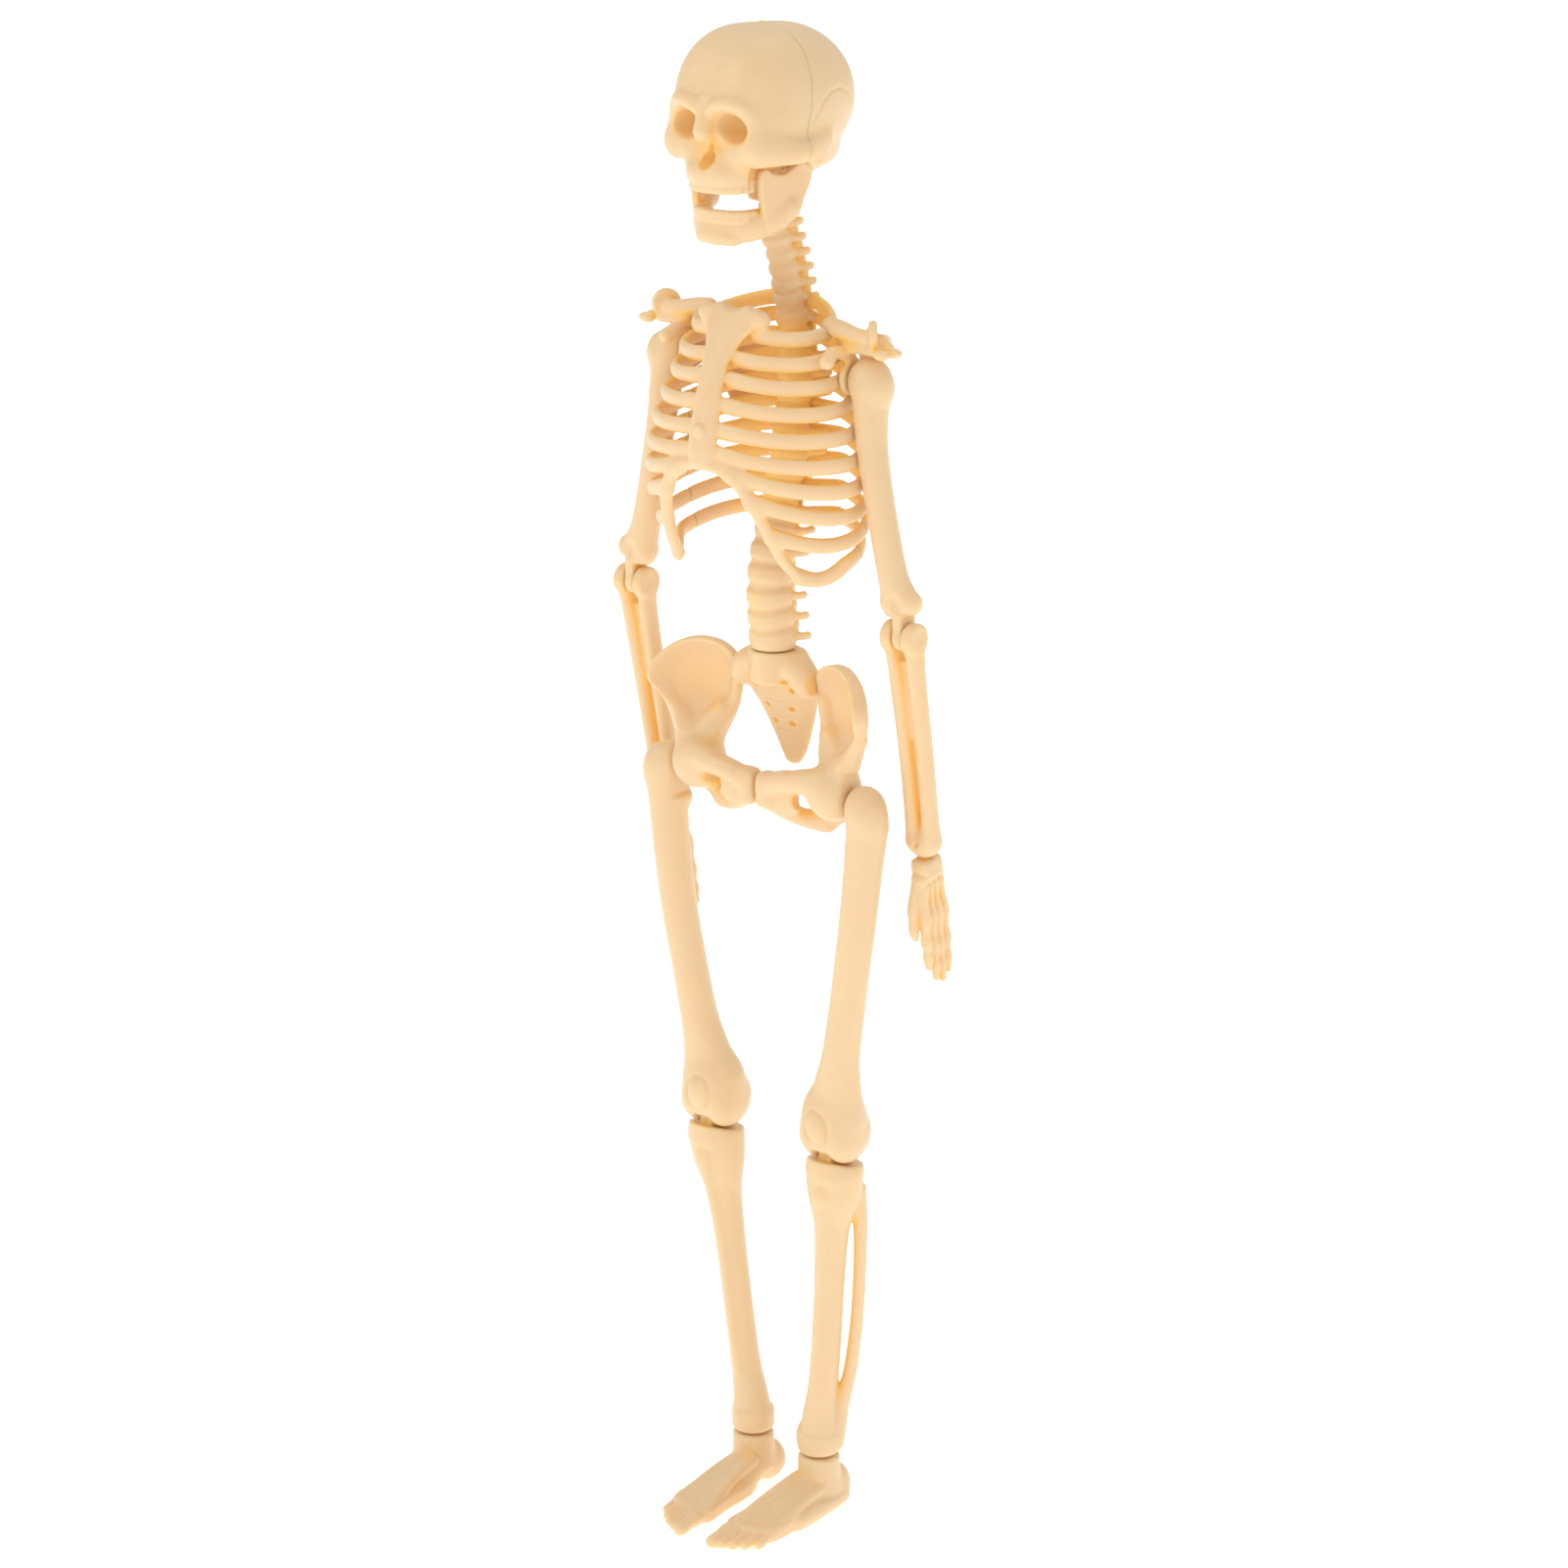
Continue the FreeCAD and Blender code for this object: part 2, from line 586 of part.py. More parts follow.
def hip_bone_solid():
    """Iliac wing, socket boss, and the pubic and sitting bones round their opening."""
    wing = ball((14.6, -1.6, 135.5), (8.0, 1.5, 7.9), -24.0)
    neck = rod((14.2, -1.8, 132.0), (14.0, -3.0, 125.0), 2.6, 3.4)
    boss = ball((13.7, "hip_y", "hip_z + 1.3"), ["socket_rad"] * 3)
    upper_bar = rod((12.0, -4.4, 125.4), (1.6, -4.9, 123.4), 1.8, 1.6)
    symphysis = block((0.2, -6.5, 119.8), (3.0, 3.0, 5.2))
    sitting = rod((12.6, -1.8, 122.6), (10.2, -0.8, 118.4), 2.6, 2.2)
    lower_bar = rod((10.2, -0.9, 117.9), (2.0, -5.0, 120.9), 1.5, 1.3)
    bone = join(wing, neck, boss, upper_bar, symphysis, sitting, lower_bar)
    outside = block(("hip_face", -20.0, 118.0), (10.0, 30.0, 9.6))
    inside = block((-20.0, -20.0, 126.5), (27.9, 40.0, 30.0))
    past_middle = block((-20.0, -20.0, 110.0), (20.2, 40.0, 20.0))
    bore = bore_x(12.5, FAR, "hip_y", "hip_z", "hip_pin_rad")
    return cut(bone, outside, inside, past_middle, bore)


sub_part("sacrum", sacrum_solid())
pin("waist_pin", (0.0, "waist_y", "waist_z - 4"), (0.0, "waist_y", "waist_z + 4"), "hip_pin_rad")
pair("hip_bone", hip_bone_solid())
cross_pins("hip_pin", 12.6, 21.6, "hip_y", "hip_z", "hip_pin_rad")

# ---- legs ----


def femur_solid():
    """Head and trochanter, a shaft that leans inwards, kneecap and two condyles with a slot."""
    ball_head = ball(("hip_x", "hip_y", "hip_z"), ["hip_rad"] * 3)
    head = keep(ball_head, block(("hip_face + face_gap", -20.0, 110.0), (10.0, 40.0, 30.0)))
    trochanter = ball((20.9, -4.0, 121.6), (2.7, 2.8, 3.0))
    shaft = loft([(20.3, -3.4, 120.6, 3.0, 2.9),
                  (19.9, -3.6, 112.0, 3.1, "shaft_rad"),
                  (17.3, -3.4, 96.0, "shaft_rad + 0.05", "shaft_rad"),
                  (14.6, -2.8, 80.0, 3.2, "shaft_rad + 0.05"),
                  (13.0, -2.2, 73.6, 4.2, 3.3),
                  ("knee_x", "knee_y", "knee_z + 2", 5.0, 3.7)])
    start = SIZES["knee_x"] - SIZES["knee_wide"] / 2
    condyles = rod((start, "knee_y", "knee_z"), ("knee_x + 5.2", "knee_y", "knee_z"), "knee_rad")
    kneecap = ball(("knee_x + 0.2", "knee_y - 4.7", "knee_z + 1.6"), (2.5, 1.6, 2.9))
    slot_half = SIZES["knee_tongue"] / 2 + SIZES["face_gap"]
    slot = block(("knee_x - %s" % slot_half, "knee_y - 3.4", "knee_z - 8"),
                 (2 * slot_half, 14.0, 11.5))
    hip_bore = bore_x(10.0, FAR, "hip_y", "hip_z", "hip_pin_rad + run_gap")
    knee_bore = bore_x("knee_x - 4.3", "knee_x + 4.3", "knee_y", "knee_z", "pin_rad")
    return cut(join(head, trochanter, shaft, condyles, kneecap), slot, hip_bore, knee_bore)


def shin_solid():
    """Tibia with its knee tongue and ankle block, and the fibula beside it."""
    tibia = loft([(7.0, "ankle_y", "ankle_z + 0.05", "ankle_rad", "ankle_rad - 0.05"),
                  (7.3, 0.8, 13.5, 3.3, 3.2),
                  (7.9, 0.5, 19.0, 2.8, 2.6),
                  (9.1, 0.1, 28.0, "shin_rad", "shin_rad - 0.05"),
                  (10.4, -0.5, 42.0, "shin_rad + 0.1", "shin_rad"),
                  (11.4, -1.0, 52.0, 2.9, 2.7),
                  (12.1, -1.4, 58.0, 4.2, 3.5),
                  ("knee_x", "knee_y", "knee_z - knee_drop", 4.8, 4.0)])
    half = SIZES["knee_tongue"] / 2
    tongue = block(("knee_x - %s" % half, "knee_y - 2.6", "knee_z - knee_drop - 1"),
                   ("knee_tongue", 5.2, "knee_drop + 1"))
    eye = rod(("knee_x - %s" % half, "knee_y", "knee_z"), ("knee_x + %s" % half, "knee_y", "knee_z"),
              "knee_tongue_rad")
    fibula = rod((10.3, 2.7, 15.0), (15.0, 1.6, 57.0), "fibula_rad", "fibula_rad + 0.2")
    fibula_head = ball((14.7, 1.2, 57.2), (1.9, 1.9, 1.9))
    fibula_foot = ball((9.6, 2.0, 14.2), (2.0, 2.0, 2.6))
    knee_bore = bore_x(5.0, FAR, "knee_y", "knee_z", "pin_rad + run_gap")
    ankle_bore = rod(("ankle_x", "ankle_y", "ankle_z - 1"), ("ankle_x", "ankle_y", "ankle_z + 4"),
                     "hip_pin_rad")
    return cut(join(tibia, tongue, eye, fibula, fibula_head, fibula_foot), knee_bore, ankle_bore)


def foot_solid():
    """Ankle drum, heel, sloping instep, flat sole and five toes that fan out."""
    drum = rod(("ankle_x", "ankle_y", 2.0), ("ankle_x", "ankle_y", "ankle_z - 0.1"), "ankle_rad")
    heel = ball((6.8, 5.0, 3.4), (3.2, 3.9, 3.4))
    sole = block((3.4, -13.0, 0.0), (6.8, 18.0, "sole_thick"))
    instep = rod((6.7, 0.0, 4.6), (6.3, -13.5, 2.6), 3.8, 2.6)
    pieces = [drum, heel, sole, instep]
    tips = (-21.0, -20.4, -19.4, -18.2, -16.8)
    for toe, tip in enumerate(tips):
        start_x = 4.2 + 1.25 * toe
        end_x = 3.4 + 1.75 * toe
        thick = SIZES["toe_rad"] + (0.2 if toe == 0 else -0.1)
        pieces.append(rod((start_x, -8.0, 3.2), (end_x, tip, thick + 0.1), thick))
    ground = block((-FAR / 2, -FAR / 2, -10.0), (FAR, FAR, 10.0))
    bore = rod(("ankle_x", "ankle_y", "ankle_z - 4.2"), ("ankle_x", "ankle_y", "ankle_z + 1"),
               "hip_pin_rad + run_gap")
    return cut(join(*pieces), ground, bore)


pair("femur", femur_solid())
cross_pins("knee_pin", "knee_x - 4.2", "knee_x + 4.2", "knee_y", "knee_z", "pin_rad")
pair("shin", shin_solid())
pin_pair("ankle_pin", ("ankle_x", "ankle_y", "ankle_z - 4"), ("ankle_x", "ankle_y", "ankle_z + 4"),
         "hip_pin_rad")
pair("foot", foot_solid())

# ---- check and write ----

doc.recompute()
for item in doc.Objects:
    if "Invalid" in item.State or "Error" in item.State:
        raise RuntimeError("%s (%s) could not be computed" % (item.Name, item.Label))
for item in SUB_PARTS:
    if item.Shape.isNull() or not item.Shape.isValid():
        raise RuntimeError("%s has no valid shape" % item.Label)
os.makedirs("parts", exist_ok=True)
for item in SUB_PARTS:
    item.Shape.exportStep("parts/%s.step" % item.Label)
    box = item.Shape.BoundBox
    print("%-18s solids %d  volume %8.1f  x %6.1f %6.1f  y %6.1f %6.1f  z %6.1f %6.1f" % (
        item.Label, len(item.Shape.Solids), item.Shape.Volume,
        box.XMin, box.XMax, box.YMin, box.YMax, box.ZMin, box.ZMax))
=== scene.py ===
"""Human skeleton model: the look of the bones, as soft cream injection-moulded plastic.

Lengths are millimetres until a mesh is made.  Bones are drawn about the plumb line through the
spine: x to the skeleton's own left, y to its back, z up from the soles.  Joint centres come from
the frame.  A right-hand bone is the mirror image of the left-hand one.
"""

import itertools
import json
import math

import bpy
import numpy as np
from mathutils import Matrix, Vector


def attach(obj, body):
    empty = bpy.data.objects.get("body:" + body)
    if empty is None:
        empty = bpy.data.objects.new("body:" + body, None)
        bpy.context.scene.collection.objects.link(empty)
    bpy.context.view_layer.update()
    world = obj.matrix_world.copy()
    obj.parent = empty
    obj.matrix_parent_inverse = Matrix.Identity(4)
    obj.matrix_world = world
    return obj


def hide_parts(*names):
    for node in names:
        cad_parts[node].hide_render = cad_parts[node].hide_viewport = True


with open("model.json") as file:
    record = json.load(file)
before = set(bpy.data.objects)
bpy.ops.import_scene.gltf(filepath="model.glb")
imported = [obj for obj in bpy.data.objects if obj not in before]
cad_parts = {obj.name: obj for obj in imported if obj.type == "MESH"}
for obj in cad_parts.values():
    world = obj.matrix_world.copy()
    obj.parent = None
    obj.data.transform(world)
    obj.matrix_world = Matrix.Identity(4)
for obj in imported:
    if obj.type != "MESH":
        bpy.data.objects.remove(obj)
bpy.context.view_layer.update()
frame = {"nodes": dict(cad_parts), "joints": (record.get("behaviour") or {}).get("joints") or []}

MM = 0.001
NECK_BEHIND_PLUMB = -1.0
JOINTS = {joint["name"]: np.array(joint["pos_m"]) / MM for joint in frame["joints"]}
PLUMB_Y = JOINTS["neck_turn"][1] - NECK_BEHIND_PLUMB


def joint(name):
    """A joint's centre in millimetres from the plumb line."""
    return JOINTS[name] - (0.0, PLUMB_Y, 0.0)


# ---- clay: a bone's solid as a distance worked out on a grid of points ----

EMPTY = 9.0      # distance written where nothing is near
REACH = 2.6      # how far around a shape its distance is worked out
FAR = 400.0      # half the side of a box that holds everything
SIDES = (1.0, -1.0)
UP = (0, 0, 1)


def length(*parts):
    """Length of vectors given part by part."""
    return np.sqrt(sum(part * part for part in parts))


def unit(vector):
    """A vector scaled to length one."""
    vector = np.asarray(vector, float)
    return vector / np.linalg.norm(vector)


def square_to(way, side):
    """A unit vector square to `way`, as near as it can be to `side`."""
    side = np.asarray(side, float)
    if abs(side @ way) > 0.97 * np.linalg.norm(side):
        side = np.array((0.0, 1.0, 0.0)) if abs(way[1]) < 0.8 else np.array((0.0, 0.0, 1.0))
    return unit(side - (side @ way) * way)


def turned(axis, degrees):
    """Three columns: where x, y and z point after a turn about an axis."""
    return np.array(Matrix.Rotation(math.radians(degrees), 3, Vector(axis)))


def smooth_least(a, b, melt):
    """The lesser of two distances, with a fillet about `melt` wide where they are alike."""
    if melt <= 0:
        return np.minimum(a, b)
    near = np.maximum(melt - np.abs(a - b), 0.0)
    return np.minimum(a, b) - near * near / (4.0 * melt)


def curve(rows, per_span=5):
    """A smooth line through rows of numbers: in each span a cubic that heads, at both ends,
    along the line between the neighbouring rows."""
    rows = np.asarray(rows, float)
    ends = np.vstack([2 * rows[0] - rows[1], rows, 2 * rows[-1] - rows[-2]])
    t = np.linspace(0.0, 1.0, per_span, endpoint=False)[:, None]
    spans = []
    for a, b, c, d in zip(ends[:-3], ends[1:-2], ends[2:-1], ends[3:]):
        spans.append(0.5 * (2 * b + (c - a) * t + (2 * a - 5 * b + 4 * c - d) * t ** 2
                            + (3 * b - a - 3 * c + d) * t ** 3))
    return np.vstack(spans + [rows[-1:]])


class Shape:
    """A solid: the corners of its box, and its distance at points of a grid."""

    def __init__(self, low, high, distance):
        self.low = np.asarray(low, float)
        self.high = np.asarray(high, float)
        self.distance = distance


def local(x, y, z, centre, axes):
    """Coordinates about a centre along the columns of `axes`."""
    dx = x - centre[0]
    dy = y - centre[1]
    dz = z - centre[2]
    if axes is None:
        return dx, dy, dz
    return [dx * axes[0, i] + dy * axes[1, i] + dz * axes[2, i] for i in range(3)]


def box_corners(centre, half, axes):
    """The corners of the upright box round a turned one."""
    half = np.asarray(half, float) * np.ones(3)
    reach = half if axes is None else np.abs(axes) @ half
    return np.asarray(centre) - reach, np.asarray(centre) + reach


def ball(centre, radii, axes=None):
    """An ellipsoid: with k the point over the radii and g its slope, the distance is k(k - 1)/g."""
    radii = np.asarray(radii, float) * np.ones(3)

    def distance(x, y, z):
        u, v, w = local(x, y, z, centre, axes)
        k = length(u / radii[0], v / radii[1], w / radii[2])
        g = length(u / radii[0] ** 2, v / radii[1] ** 2, w / radii[2] ** 2)
        return k * (k - 1.0) / np.maximum(g, 1e-6)

    return Shape(*box_corners(centre, radii, axes), distance)


def slab(centre, half, edge=0.3, axes=None):
    """A box with rounded edges: the distance to its inner box, less the edge radius."""
    half = np.asarray(half, float) * np.ones(3)

    def distance(x, y, z):
        parts = local(x, y, z, centre, axes)
        over = [np.abs(part) - size + edge for part, size in zip(parts, half)]
        outside = length(*[np.maximum(part, 0.0) for part in over])
        inside = np.minimum(np.maximum(np.maximum(over[0], over[1]), over[2]), 0.0)
        return outside + inside - edge

    return Shape(*box_corners(centre, half, axes), distance)


def drum(start, end, radius, edge=0.3):
    """A round bar with flat ends and rounded rims, between two points."""
    start = np.asarray(start, float)
    end = np.asarray(end, float)
    way = unit(end - start)
    middle = (start + end) / 2
    half = np.linalg.norm(end - start) / 2

    def distance(x, y, z):
        dx, dy, dz = local(x, y, z, middle, None)
        run = dx * way[0] + dy * way[1] + dz * way[2]
        out = np.sqrt(np.maximum(dx * dx + dy * dy + dz * dz - run * run, 0.0)) - radius + edge
        over = np.abs(run) - half + edge
        outside = length(np.maximum(out, 0.0), np.maximum(over, 0.0))
        return outside + np.minimum(np.maximum(out, over), 0.0) - edge

    return Shape(np.minimum(start, end) - radius, np.maximum(start, end) + radius, distance)


def bar(path, wide, deep=None, side=(1, 0, 0), per_span=5):
    """An oval profile carried along a smooth path: `wide` is its half width along `side`, `deep`
    the half width across, each a number or one number per point of the path."""
    path = np.asarray(path, float)
    deep = wide if deep is None else deep
    sizes = [np.broadcast_to(size, len(path)) for size in (wide, deep)]
    rows = curve(np.column_stack([path, *sizes]), per_span)
    largest = rows[:, 3:].max()

    def distance(x, y, z):
        out = np.full(np.broadcast_shapes(x.shape, y.shape, z.shape), EMPTY, np.float32)
        for start, end in zip(rows[:-1], rows[1:]):
            around = max(start[3:].max(), end[3:].max()) + REACH
            cuts = []
            for i, axis in enumerate((x, y, z)):
                limits = (min(start[i], end[i]) - around, max(start[i], end[i]) + around)
                cuts.append(slice(*np.searchsorted(axis.ravel(), limits)))
            dx = x[cuts[0]] - start[0]
            dy = y[:, cuts[1]] - start[1]
            dz = z[:, :, cuts[2]] - start[2]
            along = end[:3] - start[:3]
            span = max(along @ along, 1e-9)
            t = np.clip((dx * along[0] + dy * along[1] + dz * along[2]) / span, 0.0, 1.0)
            dx = dx - t * along[0]
            dy = dy - t * along[1]
            dz = dz - t * along[2]
            way = along / math.sqrt(span)
            across = square_to(way, side)
            third = np.cross(way, across)
            a = start[3] + (end[3] - start[3]) * t
            b = start[4] + (end[4] - start[4]) * t
            least = np.minimum(a, b)
            u = dx * across[0] + dy * across[1] + dz * across[2]
            v = dx * third[0] + dy * third[1] + dz * third[2]
            w = dx * way[0] + dy * way[1] + dz * way[2]
            k = length(u / a, v / b, w / least)
            g = length(u / a ** 2, v / b ** 2, w / least ** 2)
            near = k * (k - 1.0) / np.maximum(g, 1e-6)
            near = np.where(k < 0.02, -least, near)
            place = tuple(cuts)
            out[place] = np.minimum(out[place], near)
        return out

    return Shape(path.min(0) - largest, path.max(0) + largest, distance)


def outline_distance(u, v, corners):
    """Distance to a closed outline, negative inside: the nearest point of any edge, with the
    sign from how many edges a ray along u crosses."""
    best = None
    inside = None
    for (au, av), (bu, bv) in zip(corners, np.roll(corners, -1, axis=0)):
        eu = bu - au
        ev = bv - av
        du = u - au
        dv = v - av
        t = np.clip((du * eu + dv * ev) / max(eu * eu + ev * ev, 1e-9), 0.0, 1.0)
        gap = (du - t * eu) ** 2 + (dv - t * ev) ** 2
        best = gap if best is None else np.minimum(best, gap)
        crosses = ((av > v) != (bv > v)) & (du < dv * eu / (ev if abs(ev) > 1e-9 else 1e-9))
        inside = crosses if inside is None else inside ^ crosses
    return np.where(inside, -1.0, 1.0) * np.sqrt(best)


def plate(centre, axes, outline, half, edge=0.4, dish=None, swell=None):
    """A flat or dished plate: a smooth closed outline in the first two columns of `axes`, half
    thickness `half` along the third.  dish(u, v) bends the middle surface and swell(u, v)
    thickens it."""
    outline = np.asarray(outline, float)
    loop = np.vstack([outline[-1:], outline, outline[:2]])
    corners = curve(loop, 4)[4:-5]
    reach = np.abs(corners).max(axis=0)
    bulge = 4.0

    def distance(x, y, z):
        u, v, w = local(x, y, z, centre, axes)
        if dish is not None:
            w = w - dish(u, v)
        thick = half if swell is None else half + swell(u, v)
        side = outline_distance(u, v, corners) + edge
        over = np.abs(w) - thick + edge
        outside = length(np.maximum(side, 0.0), np.maximum(over, 0.0))
        return outside + np.minimum(np.maximum(side, over), 0.0) - edge

    return Shape(*box_corners(centre, (reach[0], reach[1], half + bulge), axes), distance)


class Clay:
    """A box of space from low to high, sampled every `step`, that holds the bone's distance."""

    def __init__(self, low, high, step):
        self.step = step
        self.axes = [np.arange(a - 4 * step, b + 4 * step, step).astype(np.float32)
                     for a, b in zip(low, high)]
        self.field = np.full([len(axis) for axis in self.axes], EMPTY, np.float32)
        # Shapes whose insides get the painted glow colour
        self.glow_pockets = []

    def near(self, shape, reach):
        """The part of the grid round a shape, and the shape's distance there."""
        cuts = tuple(slice(*np.searchsorted(axis, (low - reach, high + reach)))
                     for axis, low, high in zip(self.axes, shape.low, shape.high))
        x, y, z = [axis[cut] for axis, cut in zip(self.axes, cuts)]
        return cuts, shape.distance(x[:, None, None], y[None, :, None], z[None, None, :])

    def add(self, *shapes, melt=0.6):
        """Joins shapes on, with a fillet."""
        for shape in shapes:
            cuts, distance = self.near(shape, REACH)
            self.field[cuts] = smooth_least(self.field[cuts], distance, melt)
        return self

    def take(self, *shapes, melt=0.3):
        """Cuts shapes away, with a rounded edge."""
        for shape in shapes:
            cuts, distance = self.near(shape, REACH)
            self.field[cuts] = -smooth_least(-self.field[cuts], distance, melt)
        return self

    def paint_glow(self, *shapes):
        """Marks pockets whose walls get a painted glow: a warmer, lighter colour that stands in for
        light that has come through the plastic.
        """
        self.glow_pockets = self.glow_pockets + list(shapes)
        return self

    def within(self, shape, melt=0.3):
        """Keeps only what lies inside a shape, with a rounded edge."""
        x, y, z = self.axes
        distance = shape.distance(x[:, None, None], y[None, :, None], z[None, None, :])
        self.field = -smooth_least(-self.field, -distance, melt)
        return self

    def copy(self):
        """The same clay, to be cut another way."""
        other = Clay.__new__(Clay)
        other.step = self.step
        other.axes = self.axes
        other.field = self.field.copy()
        other.glow_pockets = self.glow_pockets
        return other

    def sample(self, points):
        """The field between grid points, by straight interpolation along each axis."""
        place = (points - [axis[0] for axis in self.axes]) / self.step
        limit = np.array(self.field.shape) - 2
        cell = np.clip(np.floor(place).astype(int), 0, limit)
        part = np.clip(place - cell, 0.0, 1.0)
        total = np.zeros(len(points))
        for corner in itertools.product((0, 1), repeat=3):
            weight = np.prod(np.where(corner, part, 1.0 - part), axis=1)
            i, j, k = (cell + corner).T
            total += weight * self.field[i, j, k]
        return total

    def slope(self, points):
        """The field's gradient, from the difference over one grid step each way."""
        reach = 0.7 * self.step
        parts = []
        for axis in np.eye(3) * reach:
            parts.append((self.sample(points + axis) - self.sample(points - axis)) / (2 * reach))
        return np.column_stack(parts)


def level(point, normal):
    """All that lies behind a plane: the distance along its normal."""
    normal = unit(normal)

    def distance(x, y, z):
        return (x - point[0]) * normal[0] + (y - point[1]) * normal[1] + (z - point[2]) * normal[2]

    return Shape((-FAR,) * 3, (FAR,) * 3, distance)


def below(z):
    """All that lies below a height."""
    return level((0, 0, z), (0, 0, 1))


def above(z):
    """All that lies above a height."""
    return level((0, 0, z), (0, 0, -1))


def cell_crossings(field, cells):
    """For each grid cell, the mean of the places where the surface crosses its twelve edges."""
    corners = list(itertools.product((0, 1), repeat=3))
    i, j, k = cells.T
    value = {corner: field[i + corner[0], j + corner[1], k + corner[2]] for corner in corners}
    total = np.zeros((len(cells), 3))
    count = np.zeros(len(cells))
    for axis in range(3):
        for corner in corners:
            if corner[axis]:
                continue
            other = list(corner)
            other[axis] = 1
            a = value[corner]
            b = value[tuple(other)]
            crossed = (a < 0) != (b < 0)
            t = np.where(crossed, a / np.where(crossed, a - b, 1.0), 0.0)
            place = np.zeros((len(cells), 3)) + corner
            place[:, axis] += t
            total += place * crossed[:, None]
            count += crossed
    return total / count[:, None]


def laid_on(clay, points, rounds=6):
    """Points slid along the field's slope until they lie on the clay's surface."""
    points = np.asarray(points, float)
    for _ in range(rounds):
        slope = clay.slope(points)
        steep = np.maximum((slope ** 2).sum(1), 0.3)[:, None]
        points = points - slope * clay.sample(points)[:, None] / steep
    return points


def skin(clay, rounds=3):
    """The surface where the field is zero, as points and four-sided faces: a point in each grid
    cell that it passes through, a face over each grid edge that it crosses.  The points then
    slide towards the middle of their neighbours and back onto the surface."""
    field = clay.field
    inside = field < 0
    size = np.array(field.shape) - 1
    count = sum(inside[i:size[0] + i, j:size[1] + j, k:size[2] + k].astype(np.int8)
                for i, j, k in itertools.product((0, 1), repeat=3))
    active = (count > 0) & (count < 8)
    cells = np.argwhere(active)
    index = np.zeros(active.shape, np.int64)
    index[active] = np.arange(len(cells))
    low = np.array([axis[0] for axis in clay.axes])
    points = (cells + cell_crossings(field, cells)) * clay.step + low
    faces = []
    for axis in range(3):
        second = (axis + 1) % 3
        third = (axis + 2) % 3
        first = [slice(1, -1)] * 3
        first[axis] = slice(0, -1)
        after = [slice(1, -1)] * 3
        after[axis] = slice(1, None)
        here = inside[tuple(first)]
        changed = here != inside[tuple(after)]
        spots = np.argwhere(changed)
        start = spots + 1
        start[:, axis] -= 1
        ring = []
        for step_b, step_c in ((-1, -1), (0, -1), (0, 0), (-1, 0)):
            cell = start.copy()
            cell[:, second] += step_b
            cell[:, third] += step_c
            ring.append(index[tuple(cell.T)])
        ring = np.column_stack(ring)
        outward = here[tuple(spots.T)]
        faces.append(np.where(outward[:, None], ring, ring[:, ::-1]))
    faces = np.vstack(faces)
    a = faces.ravel()
    b = np.roll(faces, -1, axis=1).ravel()
    ends = np.concatenate([a, b])
    others = np.concatenate([b, a])
    share = np.bincount(ends, minlength=len(points))[:, None]
    for _ in range(rounds):
        mean = np.column_stack([np.bincount(ends, points[others, i],
                                            len(points)) for i in range(3)])
        points = laid_on(clay, 0.45 * points + 0.55 * mean / share, 1)
    return points, faces


# Painted glow: hollows get a warmer, lighter colour that stands in for light bounced inside the
# translucent plastic; the amount comes from how closed in a point is.
GLOW_OCCLUSION_DEPTHS = (1.0, 2.3, 4.2)      # how far above the surface the clay is felt for, to measure the occlusion behind the painted glow
GLOW_POCKET_BLEND = 2.6                   # how deep in a marked pocket the painted glow is full
PAINTED_POCKET_GLOW = 0.75


def painted_glow_amount(clay, points):
    """How much painted glow a point gets, from how far it lies in a hollow (an occlusion measure):
    0 on open ground, 1 where solid closes in at the depths; marked glow pockets raise it.
    """
    slope = clay.slope(points)
    normal = slope / np.maximum(np.linalg.norm(slope, axis=1), 1e-6)[:, None]
    total = 0.0
    for depth in GLOW_OCCLUSION_DEPTHS:
        total = total + np.clip(1.0 - clay.sample(points + normal * depth) / depth, 0.0, 1.0)
    painted_glow = total / len(GLOW_OCCLUSION_DEPTHS)
    for shape in clay.glow_pockets:
        inside = PAINTED_POCKET_GLOW * np.clip(-shape.distance(*points.T) / GLOW_POCKET_BLEND, 0.0, 1.0)
        painted_glow = np.maximum(painted_glow, inside)
    return painted_glow


def mesh_object(name, points, faces, painted_glow):
    """A Blender object made of points (mm from the plumb line) and four-sided faces."""
    mesh = bpy.data.meshes.new(name)
    places = (points + (0.0, PLUMB_Y, 0.0)) * MM
    mesh.vertices.add(len(points))
    mesh.vertices.foreach_set("co", places.astype(np.float32).ravel())
    mesh.loops.add(faces.size)
    mesh.loops.foreach_set("vertex_index", faces.astype(np.int32).ravel())
    mesh.polygons.add(len(faces))
    mesh.polygons.foreach_set("loop_start", np.arange(0, faces.size, 4, dtype=np.int32))
    mesh.polygons.foreach_set("use_smooth", np.ones(len(faces), bool))
    # The painted glow amount is stored on each point for the material.
    layer = mesh.attributes.new("painted_glow", "FLOAT", "POINT")
    layer.data.foreach_set("value", painted_glow.astype(np.float32))
    mesh.update(calc_edges=True)
    piece = bpy.data.objects.new(name, mesh)
    bpy.context.scene.collection.objects.link(piece)
    return piece


def score(clay, points, radius=0.3):
    """A shallow round groove along a line drawn on the clay's surface."""
    line = laid_on(clay, curve(points, 6))
    clay.take(bar(line, radius, per_span=1), melt=0.2)
    return clay


def dress(piece, body, node):
    """Gives a piece its body, the CAD node it stands for and its material."""
    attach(piece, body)
    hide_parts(node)
    piece.data.materials.append(PLASTIC)


